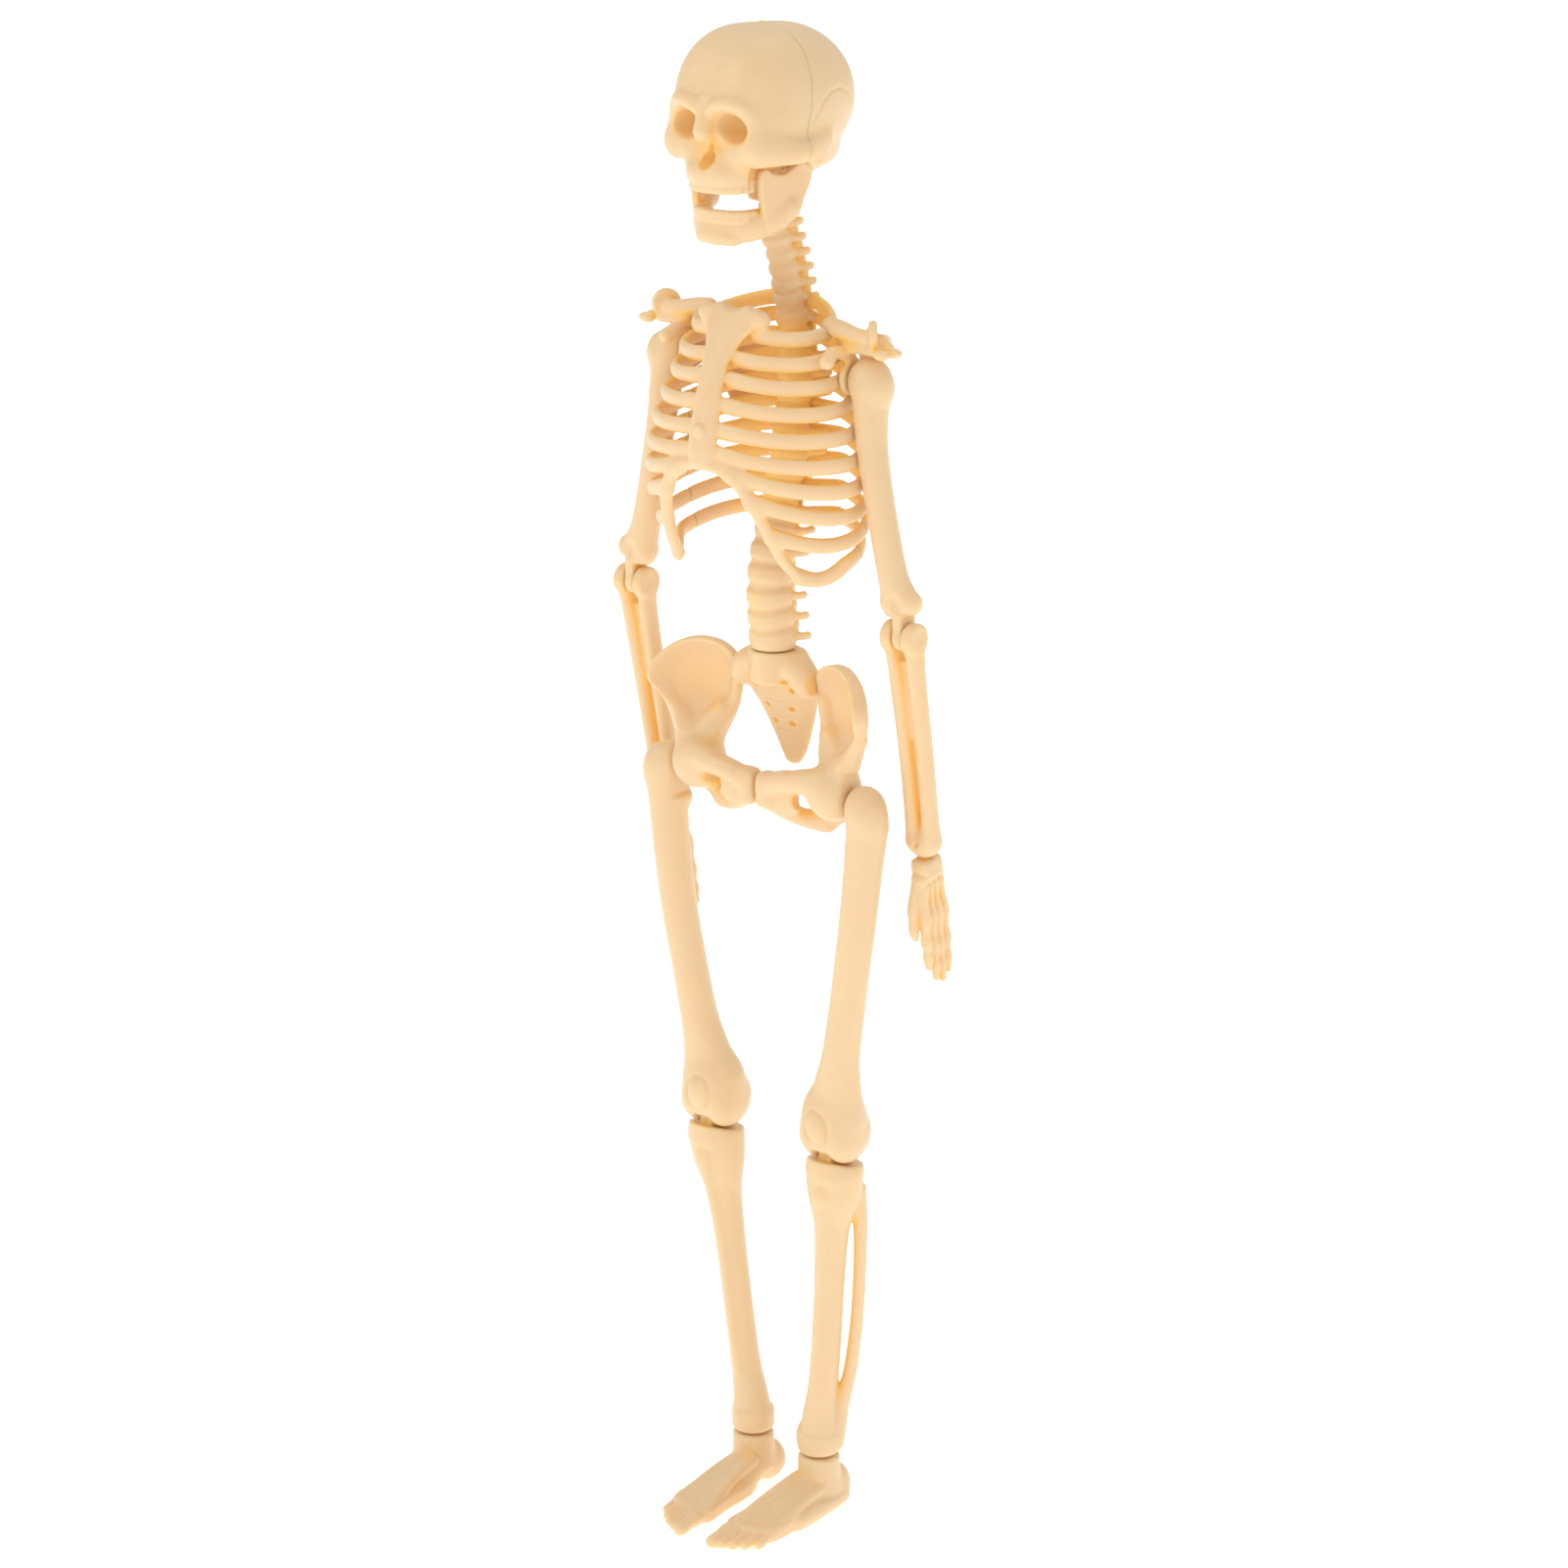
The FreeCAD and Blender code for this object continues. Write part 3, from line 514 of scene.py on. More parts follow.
def bone(name, clay, body, move=None):
    """Skins the clay and puts the piece in place of the CAD node of the same name."""
    points, faces = skin(clay)
    painted_glow = painted_glow_amount(clay, points)
    if move is not None:
        centre, axes = move
        points = points @ axes.T + centre
    dress(mesh_object(name, points, faces, painted_glow), body, name)
    return points, faces, painted_glow


def bone_pair(name, clay, left_body, right_body, move=None):
    """A left-hand bone and its mirror image on the right."""
    points, faces, painted_glow = bone(name + "_left", clay, left_body, move)
    right = mesh_object(name + "_right", points * (-1, 1, 1), faces[:, ::-1], painted_glow)
    dress(right, right_body, name + "_right")


# ---- materials ----

def linear(hexadecimal):
    """An sRGB colour written as RRGGBB, as linear red, green, blue and alpha."""
    parts = [int(hexadecimal[i:i + 2], 16) / 255.0 for i in (0, 2, 4)]
    return [p / 12.92 if p <= 0.04045 else ((p + 0.055) / 1.055) ** 2.4 for p in parts] + [1.0]


def material_tree(name):
    """A new material, its node tree and its Principled shader."""
    material = bpy.data.materials.new(name)
    material.use_nodes = True
    return material, material.node_tree, material.node_tree.nodes["Principled BSDF"]


def add_node(tree, kind, values=None, **settings):
    """Adds a node; `values` fills its inputs by name, or links them when given a socket."""
    node = tree.nodes.new(kind)
    for name, value in settings.items():
        setattr(node, name, value)
    for name, value in (values or {}).items():
        if isinstance(value, bpy.types.NodeSocket):
            tree.links.new(value, node.inputs[name])
        else:
            node.inputs[name].default_value = value
    return node


def plastic(name, open_colour, painted_glow_colour, roughness):
    """Soft injection-moulded plastic: light spreads a little way inside, a painted glow makes
    hollows warmer and lighter in colour in place of light bounced inside the plastic, and the
    surface has the faint grain of a cavity that was sparked, not polished."""
    material, tree, shader = material_tree(name)
    place = add_node(tree, "ShaderNodeTexCoord").outputs["Object"]
    # Painted glow: the stored amount mixes the colour towards the glow colour.
    painted_glow = add_node(tree, "ShaderNodeAttribute", attribute_name="painted_glow").outputs["Fac"]
    paint_glow = add_node(tree, "ShaderNodeMapRange", {"Value": painted_glow, "From Min": 0.04,
                                                 "From Max": 0.8},
                    interpolation_type="SMOOTHSTEP")
    colour = add_node(tree, "ShaderNodeMix", {"Factor": paint_glow.outputs["Result"]}, data_type="RGBA")
    colour.inputs[6].default_value = linear(open_colour)
    colour.inputs[7].default_value = linear(painted_glow_colour)
    cloud = add_node(tree, "ShaderNodeTexNoise", {"Vector": place, "Scale": 140.0, "Detail": 2.0})
    shade = add_node(tree, "ShaderNodeMapRange", {"Value": cloud.outputs["Fac"], "To Min": 0.97,
                                                 "To Max": 1.03})
    mottled = add_node(tree, "ShaderNodeVectorMath", operation="SCALE")
    tree.links.new(colour.outputs[2], mottled.inputs[0])
    tree.links.new(shade.outputs["Result"], mottled.inputs["Scale"])
    tree.links.new(mottled.outputs["Vector"], shader.inputs["Base Color"])
    grain = add_node(tree, "ShaderNodeTexNoise", {"Vector": place, "Scale": 2200.0, "Detail": 3.0})
    bump = add_node(tree, "ShaderNodeBump", {"Height": grain.outputs["Fac"], "Strength": 0.35,
                                             "Distance": 0.00006})
    tree.links.new(bump.outputs["Normal"], shader.inputs["Normal"])
    shader.inputs["Roughness"].default_value = roughness
    shader.inputs["IOR"].default_value = 1.49
    shader.inputs["Subsurface Weight"].default_value = 0.45
    shader.inputs["Subsurface Radius"].default_value = (1.0, 0.68, 0.34)
    shader.inputs["Subsurface Scale"].default_value = 0.0016
    return material


# Cream plastic of the bones, with a painted warm glow colour in their hollows, and the same plastic
# of the pins that hold them together.
PLASTIC = plastic("injection_moulded_plastic", "ECCDA0", "FDD07C", 0.36)
PIN_PLASTIC = plastic("pin_plastic", "E6C79A", "E6C79A", 0.36)


# ---- head ----

def arch(points):
    """A horseshoe line: points on the left from the back to the middle, then their mirror image."""
    left = np.asarray(points, float)
    return np.vstack([left, left[-2::-1] * (-1, 1, 1)])


SEAM_TILT = math.radians(8.2)
SEAM_POINT = (0.0, -5.9, 222.6)
HALF_SEAM = 0.015
SEAM_NORMAL = (0.0, -math.cos(SEAM_TILT), math.sin(SEAM_TILT))
UPPER_ARCH = arch([(4.5, -11.2, 0.0), (4.5, -12.6, 0.0), (3.9, -14.2, 0.0), (2.3, -15.3, 0.0),
                   (0.0, -15.7, 0.0)])
LOWER_ARCH = arch([(5.0, -9.8, 0.0), (4.8, -11.4, 0.0), (4.0, -13.0, 0.0), (2.3, -14.0, 0.0),
                   (0.0, -14.4, 0.0)])


def teeth(line, height, tall, count=14):
    """Tooth crowns spaced evenly along a horseshoe line."""
    fine = curve(line, 12)
    run = np.concatenate([[0.0], np.cumsum(np.linalg.norm(np.diff(fine, axis=0), axis=1))])
    shapes = []
    for share in (np.arange(count) + 0.5) / count:
        spot = [np.interp(share * run[-1], run, fine[:, i]) for i in range(2)]
        back = abs(share - 0.5) * 2.0
        wide = 0.66 + 0.22 * back
        shapes.append(slab((spot[0], spot[1], height), (wide, wide, tall), 0.45,
                           turned((0, 0, 1), math.degrees(math.atan2(spot[0], -(spot[1] + 8.0))))))
    return shapes


def skull():
    """The whole skull before it is parted: cranium, brow, cheeks, arches, upper jaw and teeth."""
    clay = Clay((-13, -19, 213), (13, 15, 241), 0.25)
    clay.add(ball((0.0, 0.2, 228.7), (11.0, 12.3, 10.9)),
             ball((3.6, -6.6, 228.6), (6.8, 9.4, 10.4)),
             ball((-3.6, -6.6, 228.6), (6.8, 9.4, 10.4)), melt=4.0)
    clay.add(ball((0.0, 2.2, 220.4), (7.4, 8.2, 3.4)), ball((0.0, -7.0, 222.8), (6.2, 6.0, 3.6)),
             melt=2.5)
    for side in SIDES:
        clay.add(ball((side * 6.5, -9.4, 225.4), (3.2, 5.6, 4.2)), melt=2.4)
        clay.add(bar([(side * 0.9, -15.9, 228.3), (side * 2.6, -16.4, 229.3),
                      (side * 4.7, -16.1, 229.6),
                      (side * 6.6, -14.8, 228.8), (side * 7.5, -13.5, 226.8),
                      (side * 7.7, -13.2, 224.2)],
                     0.95), melt=1.1)
        clay.add(ball((side * 7.6, -13.2, 222.8), (1.9, 2.1, 1.9)), melt=1.5)
        clay.add(ball((side * 4.2, -12.8, 221.8), (2.6, 2.6, 2.2)), melt=1.6)
        clay.add(bar([(side * 8.0, -13.3, 222.7), (side * 9.9, -11.2, 222.4),
                      (side * 10.95, -8.6, 222.1), (side * 10.95, -5.9, 222.1),
                      (side * 10.6, -3.2, 222.5), (side * 10.3, -1.0, 222.9)],
                     [1.9, 1.8, 1.55, 1.4, 1.5, 1.4], 0.95, side=UP), melt=2.2)
        clay.add(drum((side * 9.75, -3.6, 221.6), (side * 11.3, -3.6, 221.6), 2.0, 0.6), melt=0.7)
    clay.add(bar([(0, -15.4, 229.6), (0, -16.2, 227.4), (0, -17.0, 225.4)],
                 [1.5, 1.2, 1.1], 1.2), melt=0.9)
    clay.add(bar(UPPER_ARCH + (0, 0, 218.9), 1.9, 1.25, side=UP), melt=1.3)
    clay.add(ball((0.0, -11.8, 220.8), (4.8, 3.6, 2.4)), melt=1.4)
    clay.take(ball((0.0, -10.4, 217.2), (3.2, 3.8, 1.9)), melt=0.6)
    clay.take(ball((0.0, 0.8, 228.6), (9.5, 10.2, 9.2)), melt=0.0)
    for side in SIDES:
        clay.take(ball((side * 4.4, -15.9, 225.9), (2.75, 4.4, 2.15), turned((0, 1, 0), side * 10)),
                  melt=0.8)
        # Painted glow in the eye sockets and the nose opening, in place of light scattered there.
        clay.paint_glow(ball((side * 4.4, -13.2, 225.9), (3.4, 2.8, 2.9)),
                  ball((0, -15.0, 221.6), (2.2, 1.6, 2.3)))
        clay.take(ball((side * 11.3, -0.2, 221.0), (0.8, 0.8, 0.9)), melt=0.4)
        clay.take(slab((side * 8.7, -4.2, 217.3), (1.06, 2.9, 5.6), 0.3),
                  slab((side * 7.6, -8.2, 216.9), (1.25, 5.0, 4.7), 0.3,
                       turned((0, 0, 1), -side * 16)),
                  melt=0.3)
    clay.add(ball((0, -15.9, 225.2), (1.3, 1.7, 2.2)), melt=0.9)
    clay.take(ball((0, -17.1, 221.2), (1.45, 3.4, 1.5)), ball((0, -17.3, 222.5), (0.8, 3.4, 1.5)),
              melt=0.25)
    clay.add(*teeth(UPPER_ARCH, 217.25, 1.15), melt=0.06)
    clay.add(drum((0, -1, 213.42), (0, -1, 219.5), 3.7, 0.4), melt=1.6)
    clay.add(ball((0, -3.4, 239.6), (0.8, 0.8, 0.5)), melt=0.3)
    for side in SIDES:
        score(clay, [(side * 10.4, -4.4, 226.4), (side * 11.2, -1.6, 229.8),
                     (side * 11.3, 2.4, 230.6),
                     (side * 10.8, 6.0, 228.4), (side * 9.6, 8.0, 224.8)], 0.22)
        score(clay, [(0.0, 10.9, 234.6), (side * 4.2, 11.4, 231.6), (side * 7.8, 9.6, 227.6),
                     (side * 8.8, 7.8, 223.4)], 0.22)
    score(clay, [(0.0, -2.0, 239.6), (0.0, 3.0, 239.0), (0.0, 7.5, 236.6), (0.0, 10.9, 233.6)], 0.2)
    clay.take(drum((0, -1, 212.6), (0, -1, 217.6), 1.06, 0.1), melt=0.05)
    return clay


def jaw():
    """Lower jaw: horseshoe body, chin and teeth, with an upright plate and hinge head each side."""
    clay = Clay((-11, -17, 207), (11, 0, 224), 0.22)
    line = arch([(7.9, -6.4, 213.6), (6.9, -8.8, 212.0), (5.4, -11.2, 211.0), (3.2, -13.1, 210.6),
                 (0.0, -13.8, 210.5)])
    tall = [1.5, 1.8, 1.9, 1.95, 2.0, 1.95, 1.9, 1.8, 1.5]
    clay.add(bar(line, tall, 1.05, side=UP), melt=0.6)
    clay.add(ball((0, -14.3, 209.5), (2.3, 0.9, 1.1)), melt=1.0)
    for side in SIDES:
        clay.add(ball((side * 2.6, -13.5, 209.2), (1.3, 1.0, 0.9)), melt=0.8)
        axes = turned((0, 0, 1), -side * 16) @ np.column_stack([(0, 1, 0), (0, 0, 1), (1, 0, 0)])
        outline = [(-3.4, -4.4), (-4.4, -1.6), (-4.8, 1.4), (-4.7, 3.5), (-3.8, 4.2), (-2.4, 3.4),
                   (-0.4, 3.2), (1.6, 4.4), (3.6, 5.3), (4.6, 4.2), (4.0, 1.4), (2.6, -1.4),
                   (1.0, -3.6), (-1.2, -4.8)]
        clay.add(plate((side * 7.7, -6.9, 215.6), axes, outline, 0.66, 0.35), melt=0.5)
        clay.add(drum((side * 8.0, -3.6, 220.7), (side * 9.3, -3.6, 220.7), 1.5, 0.4), melt=0.6)
        clay.add(ball((side * 8.0, -5.8, 213.6), (0.9, 1.7, 1.5)), melt=0.8)
    clay.add(*teeth(LOWER_ARCH, 212.6, 1.0), melt=0.1)
    for side in SIDES:
        clay.take(drum((side * 7.0, -3.6, 220.7), (side * 11.0, -3.6, 220.7), 0.66, 0.05),
                  melt=0.05)
    return clay


whole = skull()
for name, shift, normal in (("skull_front", -HALF_SEAM, np.negative(SEAM_NORMAL)),
                            ("skull_back", HALF_SEAM, SEAM_NORMAL)):
    half = whole.copy().within(level(np.add(SEAM_POINT, (0, shift, 0)), normal), 0.1)
    bone(name, half, "head")
bone("jaw", jaw(), "jaw")

# ---- spine ----

NECK_COUNT = 7
CHEST_COUNT = 12
LOIN_COUNT = 5
SPINE_MIDS = np.concatenate([212.1 - 2.36 * np.arange(NECK_COUNT),
                             194.9 - 2.95 * np.arange(CHEST_COUNT),
                             159.2 - 3.28 * np.arange(LOIN_COUNT)])
SPINE_RADII = np.concatenate([np.linspace(2.2, 2.45, NECK_COUNT),
                              np.linspace(2.5, 3.3, CHEST_COUNT),
                              np.linspace(3.5, 3.8, LOIN_COUNT)])


def spine_y(z):
    """How far back the spine lies: a slow wave, forward at waist and neck, back at the chest."""
    wave = 0.9 + 3.3 * np.sin(2.0 * np.pi * (z - 168.0) / 74.0)
    share = np.clip((z - 146.0) / 8.0, 0.0, 1.0)
    top = np.clip((z - 205.0) / 8.0, 0.0, 1.0)
    return -1.3 + (wave + 1.3) * share + (-1.0 - wave) * top * share


def spine():
    """A bent core, a round spurred vertebra at each level, and a column behind the neck."""
    clay = Clay((-7, -6, 143), (7, 13, 215), 0.3)
    heights = np.concatenate([[144.2], SPINE_MIDS[::-1], [213.1]])
    radii = np.concatenate([[3.5], SPINE_RADII[::-1] - 0.42, [1.9]])
    clay.add(bar(np.column_stack([heights * 0, spine_y(heights), heights]), radii), melt=0.0)
    rear = np.array([211.6, 208.0, 204.0, 200.0, 196.0, 192.5])
    clay.add(bar(np.column_stack([rear * 0, spine_y(rear) + 3.2, rear]), 1.5, 1.25), melt=0.6)
    # Painted glow on the chest part of the spine, which lies in shade inside the cage.
    clay.paint_glow(ball((0, 4.0, 176.0), (7.0, 9.0, 22.0)))
    for level_index, (z, radius) in enumerate(zip(SPINE_MIDS, SPINE_RADII)):
        y = spine_y(z)
        tilt = turned((1, 0, 0), math.degrees(-math.atan((spine_y(z + 1) - spine_y(z - 1)) / 2)))
        rise = tilt @ (0.0, 0.0, 1.0)
        neck = level_index < NECK_COUNT
        loin = level_index >= NECK_COUNT + CHEST_COUNT
        half = 0.95 if neck else 1.35 if loin else 1.2
        middle = np.array((0.0, y, z))
        clay.add(drum(middle - half * rise, middle + half * rise, radius, 0.8), melt=0.4)
        reach = 1.0 if neck else 1.5 if loin else 2.4
        drop = 0.4 if neck else 0.2 if loin else 1.9
        clay.add(bar([(0, y + radius - 1.0, z - 0.1), (0, y + radius + 0.6 * reach, z - 0.5 * drop),
                      (0, y + radius + reach, z - drop)],
                     [0.9, 0.65, 0.6], [1.1, 0.95, 1.15 if loin else 0.85]),
                 melt=0.5)
        wide = 0.5 if neck else 1.3 if loin else 1.5
        for side in SIDES:
            clay.add(bar([(side * (radius - 0.9), y + 1.2, z),
                          (side * (radius + 0.5 * wide), y + 1.9, z),
                          (side * (radius + wide), y + (2.2 if loin else 2.8), z + 0.2)],
                         [0.8, 0.6, 0.65]), melt=0.4)
            clay.add(ball((side * 1.3, y + radius * 0.75 + 0.5, z + 1.1), (0.9, 0.9, 1.0)),
                     melt=0.5)
        if neck:
            clay.add(ball((0, y + 3.1, z - 0.2), (1.6, 1.35, 1.1)), melt=0.4)
    clay.within(below(213.25), 0.2)
    clay.within(above(144.05), 0.2)
    clay.take(drum((0, -1.3, 143), (0, -1.3, 148.1), 1.26, 0.05), melt=0.05)
    return clay


bone("spine", spine(), "torso")

# ---- rib cage ----

CAGE_RINGS = np.array([      # height, centre y, half width, half depth of the cage's outside
    (153.0, -2.4, 14.6, 8.6),
    (156.5, -3.0, 15.6, 9.6),
    (163.0, -3.8, 18.4, 12.0),
    (171.0, -4.6, 19.7, 13.6),
    (179.0, -4.4, 18.7, 13.2),
    (187.0, -3.6, 15.6, 11.9),
    (193.0, -2.7, 13.6, 9.8),
    (197.5, -1.8, 10.5, 7.6),
    (201.0, -1.0, 8.5, 6.6),
])
RIB_SIDES = (194.7, 191.3, 187.7, 184.0, 180.2, 176.3, 172.4, 168.4, 164.4, 160.6)
RIB_FRONTS = ((4.2, 194.7), (2.6, 191.2), (2.6, 188.3), (2.6, 184.6), (2.6, 180.9), (2.6, 177.5),
              (4.8, 174.8), (8.0, 171.0), (10.2, 165.6), (12.0, 158.7))
RIB_SAG = (0.5, 0.5, 0.5, 0.5, 0.5, 0.5, 0.7, 0.8, 0.9, 1.5)
RIB_RISE = (3.0, 3.6, 4.0, 4.4, 4.7, 4.9, 5.0, 4.9, 4.6, 4.2)


def ring_at(z):
    """The cage's centre y, half width and half depth at a height, for the middle of the wall."""
    fine = curve(CAGE_RINGS, 8)
    y, wide, deep = [np.interp(z, fine[:, 0], fine[:, i]) for i in (1, 2, 3)]
    return y, wide - 0.85, deep - 0.85


def on_cage(x, z):
    """The point of the cage's front wall at a given x and z."""
    y, wide, deep = ring_at(z)
    return x, y - deep * np.sqrt(np.maximum(1.0 - (x / wide) ** 2, 0.0)), z


def rib(side, number):
    """A rib's line: from the spine back and outwards, round the side, and in to its front end."""
    low = RIB_SIDES[number]
    rise = RIB_RISE[number]
    end = RIB_FRONTS[number]
    _, wide, _ = ring_at(end[1])
    last = math.pi - math.asin(end[0] / wide)
    turns = np.linspace(math.radians(16), last, 22)
    backward = np.clip(np.cos(turns), 0.0, 1.0)
    z = low + rise * backward ** 1.3
    share = np.clip((turns - math.pi / 2) / (last - math.pi / 2), 0.0, 1.0)
    z = z + (end[1] - low) * share ** 1.2 - RIB_SAG[number] * np.sin(np.pi * share)
    y, wide, deep = ring_at(z)
    points = np.column_stack([side * wide * np.sin(turns), y + deep * np.cos(turns), z])
    root_z = z[0] + 0.4
    root = (side * 1.9, spine_y(root_z) + 2.0, root_z)
    return np.vstack([[root], points])


def cage():
    """Ribs, breastbone, rib margins and the strip along the spine, before the cage is parted."""
    clay = Clay((-21, -21, 152), (21, 12, 201), 0.3)
    for number in range(len(RIB_SIDES)):
        for side in SIDES:
            line = rib(side, number)
            tall = np.full(len(line), 1.2)
            tall[:2] = 0.9
            tall[-2:] = 1.3
            clay.add(bar(line, tall, 0.75, side=UP, per_span=2), melt=0.6)
    for side in SIDES:
        margin = [on_cage(side * x, z) for x,
                  z in ((0.6, 175.6), (3.4, 175.2), (6.4, 173.4), (8.7, 169.8),
                                                    (10.2, 165.4), (11.0, 161.4), (12.0, 158.9))]
        clay.add(bar(margin, 1.05, 0.85), melt=0.8)
    z = np.arange(156.0, 198.0, 3.0)
    clay.add(bar(np.column_stack([z * 0, spine_y(z) + 2.4, z]), 2.4, 0.6), melt=0.5)
    breast = np.array([(0, -9.7, 198.0), (0, -10.9, 196.0), (0, -12.5, 193.6), (0, -14.4, 190.4),
                       (0, -15.8, 186.0), (0, -16.8, 181.6), (0, -17.5, 178.0), (0, -17.7, 176.2)])
    clay.add(bar(breast, [4.4, 4.8, 3.2, 2.3, 2.3, 2.5, 2.6, 2.3],
                 [1.0, 1.15, 1.2, 1.15, 1.15, 1.2, 1.1, 0.95]), melt=0.5)
    for side in SIDES:
        clay.add(ball((side * 4.9, -9.9, 196.9), (1.9, 1.3, 1.5)), melt=0.8)
    clay.take(ball((0, -9.8, 199.8), (2.4, 4.0, 1.7)), melt=0.6)
    # Painted glow inside the cage, in place of light coming through the ribs.
    clay.paint_glow(ball((0, 1.5, 178.0), (17.0, 9.0, 26.0)))
    clay.add(drum((0, -18.6, 180.9), (0, -15.6, 180.9), 1.05, 0.35), melt=0.15)
    return clay


whole = cage()
bone("rib_cage_front", whole.copy().within(level((0, -1.04, 0), (0, 1, 0)), 0.2), "torso")
bone("rib_cage_back", whole.within(level((0, -0.96, 0), (0, -1, 0)), 0.2), "torso")

# ---- shoulder blades ----


def scapula():
    """Dished blade, ridge, plate that faces the arm, pierced shoulder tip and collar bone."""
    clay = Clay((4, -9, 173), (27, 15, 199), 0.25)
    turn = math.radians(-36)
    axes = np.column_stack([(math.cos(turn), math.sin(turn), 0), (0, 0, 1),
                            (math.sin(turn), -math.cos(turn), 0)])
    outline = [(-4.3, 7.2), (-2.6, 8.9), (1.2, 8.0), (3.6, 6.9), (5.0, 5.2), (4.8, 2.4),
               (3.3, -1.0),
               (1.0, -6.0), (-1.3, -9.4), (-3.2, -9.5), (-4.4, -5.0), (-4.8, 1.0)]
    clay.add(plate((13.2, 6.75, 184.4), axes, outline, 0.55, 0.4,
                   dish=lambda u, v: 0.025 * u * u + 0.008 * v * v - 0.4,
                   swell=lambda u, v: 0.3 * np.clip((np.abs(v) + np.abs(u) - 5.0) / 4.0, 0.0, 1.0)),
             melt=0.4)
    clay.add(bar([(9.9, 9.6, 188.6), (12.6, 9.6, 190.6), (15.8, 6.6, 192.4), (18.6, 2.4, 193.6),
                  (20.2, -0.6, 194.2)], [0.7, 0.8, 0.9, 1.1, 1.4],
                 [0.6, 0.8, 0.9, 1.0, 1.1]), melt=0.8)
    clay.add(slab((18.4, -0.9, 193.05), (3.4, 2.4, 0.72), 0.6), melt=0.8)
    clay.add(slab((15.93, 1.3, 188.4), (0.52, 3.2, 2.3), 0.4), melt=0.5)
    clay.add(drum((15.4, -1.6, 188.4), (16.45, -1.6, 188.4), 2.7, 0.35), melt=0.5)
    clay.add(bar([(15.9, -1.0, 190.4), (15.6, -2.6, 192.0), (15.3, -5.4, 192.6),
                  (15.9, -7.4, 191.6)],
                 [0.8, 1.0, 1.0, 1.15], side=UP), melt=0.6)
    clay.add(drum((19.9, -2.62, 195.3), (20.9, -1.78, 195.3), 2.3, 0.55), melt=0.6)
    clay.add(ball((23.2, -3.6, 192.95), (1.5, 1.1, 0.8)), ball((23.6, -1.4, 192.95),
                                                               (1.5, 1.1, 0.8)), melt=0.4)
    clay.add(bar([(19.4, -2.6, 194.9), (17.0, -2.5, 195.0), (14.4, -2.2, 195.4),
                  (12.0, -1.9, 195.8)],
                 [1.2, 1.3, 1.45, 1.3]), melt=0.8)
    clay.take(drum((18.8, -2.4, 195.4), (20.8, -0.7, 195.4), 0.6, 0.1), melt=0.25)
    clay.take(drum((14.0, -1.6, 188.4), (24.0, -1.6, 188.4), 1.0, 0.05), melt=0.05)
    clay.take(drum((16.46, -1.6, 188.4), (26.0, -1.6, 188.4), 3.9, 0.1), melt=0.1)
    return clay


bone_pair("scapula", scapula(), "torso", "torso")

# ---- arms ----


def humerus():
    """Trimmed ball head with two bumps, a shaft that leans outwards, a flared foot and tongue."""
    clay = Clay((16, -8, 147), (31, 3, 193), 0.28)
    clay.add(bar([(20.1, -2.1, 186.6), (20.4, -2.6, 182.6), (21.1, -2.9, 177.0),
                  (22.9, -2.9, 168.0),
                  (24.7, -2.8, 160.0), (26.0, -2.75, 156.4), (26.6, -2.8, 155.3)],
                 [2.9, 2.55, 2.3, 2.2, 2.35, 3.0, 3.3],
                 [2.9, 2.6, 2.35, 2.25, 2.2, 2.2, 2.0]), melt=0.5)
    clay.add(ball((19.4, -1.6, 188.4), 3.35), melt=1.2)
    clay.add(ball((21.9, -2.2, 187.6), (1.8, 2.3, 2.8)), melt=0.9)
    clay.add(ball((20.8, -4.0, 187.4), (1.2, 1.0, 1.8)), melt=0.5)
    clay.take(bar([(22.3, -5.6, 190.0), (22.3, -5.3, 187.0), (22.2, -4.9, 183.6)], 0.5), melt=0.5)
    clay.add(ball((28.7, -2.8, 155.8), (1.2, 1.6, 1.6)), ball((24.3, -2.8, 155.7), (1.2, 1.8, 1.6)),
             melt=0.8)
    clay.take(ball((26.8, -5.2, 156.0), (1.5, 0.8, 1.6)),
              ball((26.8, -0.3, 156.4), (1.6, 0.9, 1.8)), melt=0.5)
    clay.within(above(153.45), 0.4)
    clay.within(level((16.8, 0, 0), (-1, 0, 0)), 0.3)
    clay.add(drum((26.05, -2.8, 150.5), (27.75, -2.8, 150.5), 2.05, 0.3),
             slab((26.9, -2.8, 152.6), (0.85, 1.9, 1.9), 0.3), melt=0.25)
    clay.take(drum((15, -1.6, 188.4), (21.5, -1.6, 188.4), 1.06, 0.05),
              drum((24, -2.8, 150.5), (30, -2.8, 150.5), 0.86, 0.05), melt=0.05)
    return clay


